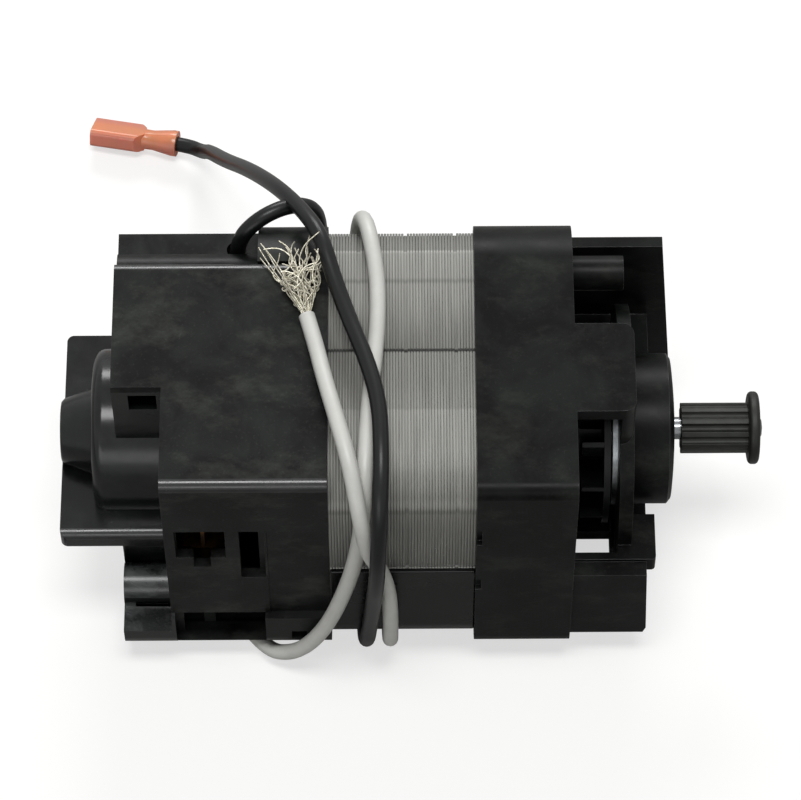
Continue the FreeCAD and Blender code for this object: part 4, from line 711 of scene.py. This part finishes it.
# Ball bearing: ground chrome steel rings and balls, a nylon cage and thin pressed shields, held by a
# retainer plate with two screws and a wave washer; the shaft's washers, spacer and clip belong to it.
# ground bearing steel: mirror-bright and almost without grain
bearing_steel = plain_material(
    "ground_bearing_steel", "#c9cbcc", "#b4b6b8", 2.0, 0.002, Metallic=1.0, Roughness=0.12)
dress(bearing_steel, "bearing_outer_ring", "bearing_inner_ring", "bearing_balls")
# glass-filled nylon: cream, slightly mottled
dress(plain_material("glass_filled_nylon", "#d9cfae", "#c6bb97", 0.4, 0.01, Roughness=0.5), "bearing_cage")
dress(zinc_steel, "bearing_shields", "bearing_retainer", "retainer_screws", "wave_washer", "bearing_spacer",
      "shaft_clip", "thrust_washers", "bush_retainer")

# Rear bush: porous sintered bronze soaked in oil, with a felt ring round it as the oil store. Both are
# pressed into the housing's carrier.
# sintered bronze: brown-gold and wet with oil, with dark pores
dress(plain_material("oiled_sintered_bronze", "#8d6537", "#5c4023", 0.3, 0.03, Metallic=0.9, Roughness=0.36),
      "rear_bush")
# wool felt: matt and tan from the oil, with a soft pale edge
oiled_felt = plain_material(
    "oiled_wool_felt", "#a8926b", "#7c6a4b", 0.7, 0.15, Roughness=0.9, Sheen_Weight=0.4)
dress(oiled_felt, "oil_felt")

# Black lead: stranded wire in soft black PVC. It leaves the brush compartment, goes once round the body
# and then off to the back, where its push-on connector lies on the table.
LEAD_DIAMETER = 3.4
MOTTLE_WIDTH = 4
PVC_GRAIN = 0.6
BLACK_ROUTE = [
    (-87.2, 29.3, 20.0), (-87.2, 29.3, 28.5), (-82.2, 31.8, 34.1), (-75.2, 35.3, 34.1), (-70.2, 37.7, 28.5),
    (-69.6, 37.9, 17.0), (-68.0, 37.8, -2.0), (-65.6, 37.5, -17.0), (-63.6, 37.3, -29.5),
    (-62.8, 29.4, -37.1), (-62.0, 12.0, -37.1), (-61.3, -10.0, -37.1), (-60.8, -28.2, -37.1),
    (-60.2, -36.7, -28.2), (-59.3, -38.2, -15.0), (-58.5, -40.4, -1.0), (-57.8, -42.6, 11.0),
    (-57.4, -42.6, 23.5), (-56.9, -37.6, 34.5), (-56.6, -28.0, 39.6), (-57.0, -16.0, 39.6),
    (-59.6, -5.8, 39.4), (-63.0, 3.5, 39.2), (-66.2, 13.0, 39.7), (-68.9, 22.5, 41.6), (-72.6, 30.5, 38.6),
    (-78.5, 42.5, 29.5), (-85.2, 58.0, 12.5), (-91.5, 73.5, -7.5), (-96.2, 88.4, -26.3),
    (-97.8, 92.4, -32.8), (-101.6, 96.1, -35.5), (-110.1, 97.9, -35.9),
]


def lead_curve(name, route, material):
    """A round lead along a route in mm, as a smooth spline."""
    curve = bpy.data.curves.new(name, "CURVE")
    curve.dimensions = "3D"
    curve.bevel_depth = LEAD_DIAMETER / 2 * MM
    curve.bevel_resolution = 5
    curve.resolution_u = 10
    curve.use_fill_caps = True
    spline = curve.splines.new("NURBS")
    spline.points.add(len(route) - 1)
    for point, place in zip(spline.points, route):
        point.co = (*(Vector(place) * MM), 1)
    spline.order_u = 3
    spline.use_endpoint_u = True
    curve.materials.append(material)
    lead = bpy.data.objects.new(name, curve)
    bpy.context.scene.collection.objects.link(lead)
    return lead


def soft_pvc(name, light, dark, roughness, shine):
    """Extruded PVC insulation: a faint mottle of handling marks over an even colour."""
    material, tree, shader = new_material(name, Roughness=roughness, Specular_IOR_Level=shine)
    place = add_node(tree, "ShaderNodeTexCoord").outputs["Object"]
    mottle = add_node(tree, "ShaderNodeTexNoise", {
        "Vector": place, "Scale": 1 / (MOTTLE_WIDTH * MM), "Detail": 4.0, "Roughness": 0.6})
    colour = add_node(tree, "ShaderNodeMix", {
        "Factor": mottle, MIX_FIRST: linear(light), MIX_SECOND: linear(dark)}, data_type="RGBA")
    tree.links.new(colour.outputs[MIX_RESULT], shader.inputs["Base Color"])
    grain = add_node(tree, "ShaderNodeTexNoise", {"Vector": place, "Scale": 1 / (PVC_GRAIN * MM)})
    bump = add_node(tree, "ShaderNodeBump", {"Height": grain, "Strength": 0.08, "Distance": 0.1 * MM})
    tree.links.new(bump.outputs["Normal"], shader.inputs["Normal"])
    return material


# soft black PVC: satin, with a clear highlight along it
black_pvc = soft_pvc("extruded_black_pvc", "#121314", "#0b0c0c", 0.34, 0.25)
black_lead = lead_curve("black_motor_lead", BLACK_ROUTE, black_pvc)
keep(black_lead, "root", "black_insulation", "black_lead")

# White lead: the same stranded wire in soft white PVC. It comes from under the brush compartment, goes about
# one and a half times round the body and ends cut off and stripped, on top of the cover.
WHITE_ROUTE = [
    (-88.7, -24.0, -37.1), (-82.7, -33.6, -37.2), (-75.2, -36.8, -32.5), (-68.9, -37.4, -20.0),
    (-64.0, -37.7, 0.0), (-61.4, -36.9, 16.0), (-60.5, -35.8, 28.8), (-60.0, -28.8, 35.8),
    (-59.2, -14.0, 35.3), (-57.4, 2.0, 35.1), (-57.2, 16.0, 35.3), (-59.3, 28.8, 35.9), (-61.0, 35.9, 28.8),
    (-62.0, 36.6, 15.0), (-61.4, 37.0, 0.0), (-60.4, 37.1, -14.0), (-59.4, 37.1, -29.0),
    (-58.4, 29.4, -37.1), (-57.0, 12.0, -37.1), (-56.0, -10.0, -37.1), (-55.4, -28.2, -37.1),
    (-55.1, -36.7, -28.2), (-55.0, -37.2, -15.0), (-55.4, -37.0, -3.0), (-57.2, -37.3, 8.0),
    (-59.7, -39.9, 19.5), (-61.0, -38.6, 31.5), (-63.0, -30.0, 39.0), (-65.8, -19.5, 40.0),
    (-68.4, -9.0, 38.6), (-70.2, -0.5, 37.7), (-71.9, 5.7, 37.6),
]
# soft white PVC: slightly grey and a little shiny
white_pvc = soft_pvc("extruded_white_pvc", "#d2d2cd", "#bdbdb8", 0.42, 0.5)
white_lead = lead_curve("white_motor_lead", WHITE_ROUTE, white_pvc)
keep(white_lead, "root", "white_insulation", "white_lead")

# Push-on connector: a brass receptacle crimped on the black lead, inside a translucent salmon nylon sleeve
# with a flat hollow front and a round barrel. The sleeve is pushed over the receptacle after the crimp.
SLEEVE_MIDDLE = 72.9
SLEEVE_ACROSS = (0.207, 0.978, 0.0)
SLEEVE_CLOUDS = 3.5
# half the width in mm of the sleeve's deep orange middle, and where its pinker rims begin
ORANGE_HALF, RIM_START = 1.2, 2.6
# thin salmon nylon: orange where the brass shows through, pinker at its rims
nylon, nylon_tree, nylon_shader = new_material(
    "translucent_salmon_nylon", Roughness=0.28, Transmission_Weight=0.3, Subsurface_Weight=0.4,
    Subsurface_Radius=(3.0, 1.2, 0.8), Subsurface_Scale=1 * MM, IOR=1.53)
nylon_place = add_node(nylon_tree, "ShaderNodeTexCoord").outputs["Object"]
nylon_clouds = add_node(nylon_tree, "ShaderNodeTexNoise", {
    "Vector": nylon_place, "Scale": 1 / (SLEEVE_CLOUDS * MM), "Detail": 4.0})
nylon_across = add_node(nylon_tree, "ShaderNodeVectorMath", {0: nylon_place, 1: SLEEVE_ACROSS},
                        operation="DOT_PRODUCT").outputs["Value"]
nylon_aside = add_node(nylon_tree, "ShaderNodeMath", {0: nylon_across, 1: SLEEVE_MIDDLE * MM},
                       operation="SUBTRACT")
nylon_aside = add_node(nylon_tree, "ShaderNodeMath", {0: nylon_aside}, operation="ABSOLUTE")
nylon_rim = add_node(nylon_tree, "ShaderNodeMapRange", {
    "Value": nylon_aside, "From Min": ORANGE_HALF * MM, "From Max": RIM_START * MM, "To Max": 0.75})
nylon_mix = add_node(nylon_tree, "ShaderNodeMath", {0: nylon_clouds, 1: 0.35, 2: nylon_rim},
                     operation="MULTIPLY_ADD")
nylon_colour = add_node(nylon_tree, "ShaderNodeMix", {
    "Factor": nylon_mix, MIX_FIRST: linear("#f99a66"), MIX_SECOND: linear("#e68a75")}, data_type="RGBA")
nylon_tree.links.new(nylon_colour.outputs[MIX_RESULT], nylon_shader.inputs["Base Color"])
keep(softened("nylon_connector_sleeve", "connector_sleeve", 0.35, [nylon]), "root", "salmon_nylon",
     "connector_sleeve")
# clean stamped brass: yellow and fairly shiny
dress(plain_material("stamped_brass", "#c9a45c", "#a6803e", 1.5, 0.01, Metallic=1.0, Roughness=0.28),
      "connector_receptacle")

# Frayed strands: the white lead's stripped end, some forty tinned copper wires that have sprung apart.
# One bundle still lies straight to the left, others curl up and loop to the right.
STRAND_RADIUS = 0.15
STRAND_START = Vector((-71.9, 5.4, 37.6))
STRAND_STEP = 2.0
NECK_SPREAD = 0.7
BEND_STEPS = 4
# the strands stay in a funnel that opens to the back: its lowest and highest place, its width to the left
# and to the right at the start and with each mm outwards, its last place on the right, and its end
STRAND_LOW, STRAND_HIGH = 36.0, 42.5
LEFT_START, LEFT_FLARE = 0.6, 0.62
RIGHT_START, RIGHT_FLARE = 0.7, 0.25
FUNNEL_RIGHT, FUNNEL_END = -69.0, 24.6
TURNED_BACK = -0.8
# strands, first heading and its spread, turn at each step and its spread in degrees, steps
STRAND_WAYS = [(9, -33, 2, 0, 3, 9), (15, -14, 12, 0, 34, 10), (9, 20, 8, -28, 10, 11),
               (6, -26, 8, 30, 14, 9)]
chance = random.Random(7)


def sprung_strand(first, fan, turn, wobble, steps):
    """The points in mm of one strand, which wanders off from the lead's end inside the funnel."""
    place = STRAND_START + Vector([chance.uniform(-NECK_SPREAD, NECK_SPREAD) for _ in range(3)])
    heading = first + chance.uniform(-fan, fan)
    climb = chance.uniform(-0.2, 0.5)
    places = [place.copy()]
    for step in range(steps):
        heading += turn * min(step, BEND_STEPS) / BEND_STEPS + chance.uniform(-wobble, wobble)
        climb += chance.uniform(-0.4, 0.3)
        ahead = math.radians(heading)
        place += STRAND_STEP * Vector((math.sin(ahead), math.cos(ahead), climb))
        place.z = min(max(place.z, STRAND_LOW), STRAND_HIGH)
        out = place.y - STRAND_START.y
        left = STRAND_START.x - LEFT_START - LEFT_FLARE * out
        right = min(STRAND_START.x + RIGHT_START + RIGHT_FLARE * out, FUNNEL_RIGHT)
        if not left < place.x < right or place.y > FUNNEL_END:
            place.x = min(max(place.x, left), right)
            place.y = min(place.y, FUNNEL_END)
            heading *= TURNED_BACK
        places.append(place.copy())
    return places


strand_curve = bpy.data.curves.new("tinned_strands", "CURVE")
strand_curve.dimensions = "3D"
strand_curve.bevel_depth = STRAND_RADIUS * MM
strand_curve.bevel_resolution = 1
strand_curve.resolution_u = 5
for count, *way in STRAND_WAYS:
    for _ in range(count):
        places = sprung_strand(*way)
        spline = strand_curve.splines.new("NURBS")
        spline.points.add(len(places) - 1)
        for point, place in zip(spline.points, places):
            point.co = (*(place * MM), 1)
        spline.order_u = 4
        spline.use_endpoint_u = True
# tinned copper wire: silvery, a little yellow
tinned = plain_material("tinned_copper_wire", "#d2cfc0", "#97917e", 0.6, 0.005, Metallic=0.85, Roughness=0.4)
strand_holder = bpy.data.objects.new("strand_holder", strand_curve)
strands = new_piece("frayed_strands", bpy.data.meshes.new_from_object(strand_holder), tinned)
bpy.data.objects.remove(strand_holder)
keep(strands, "root", "tinned_strands", "white_lead_strands")
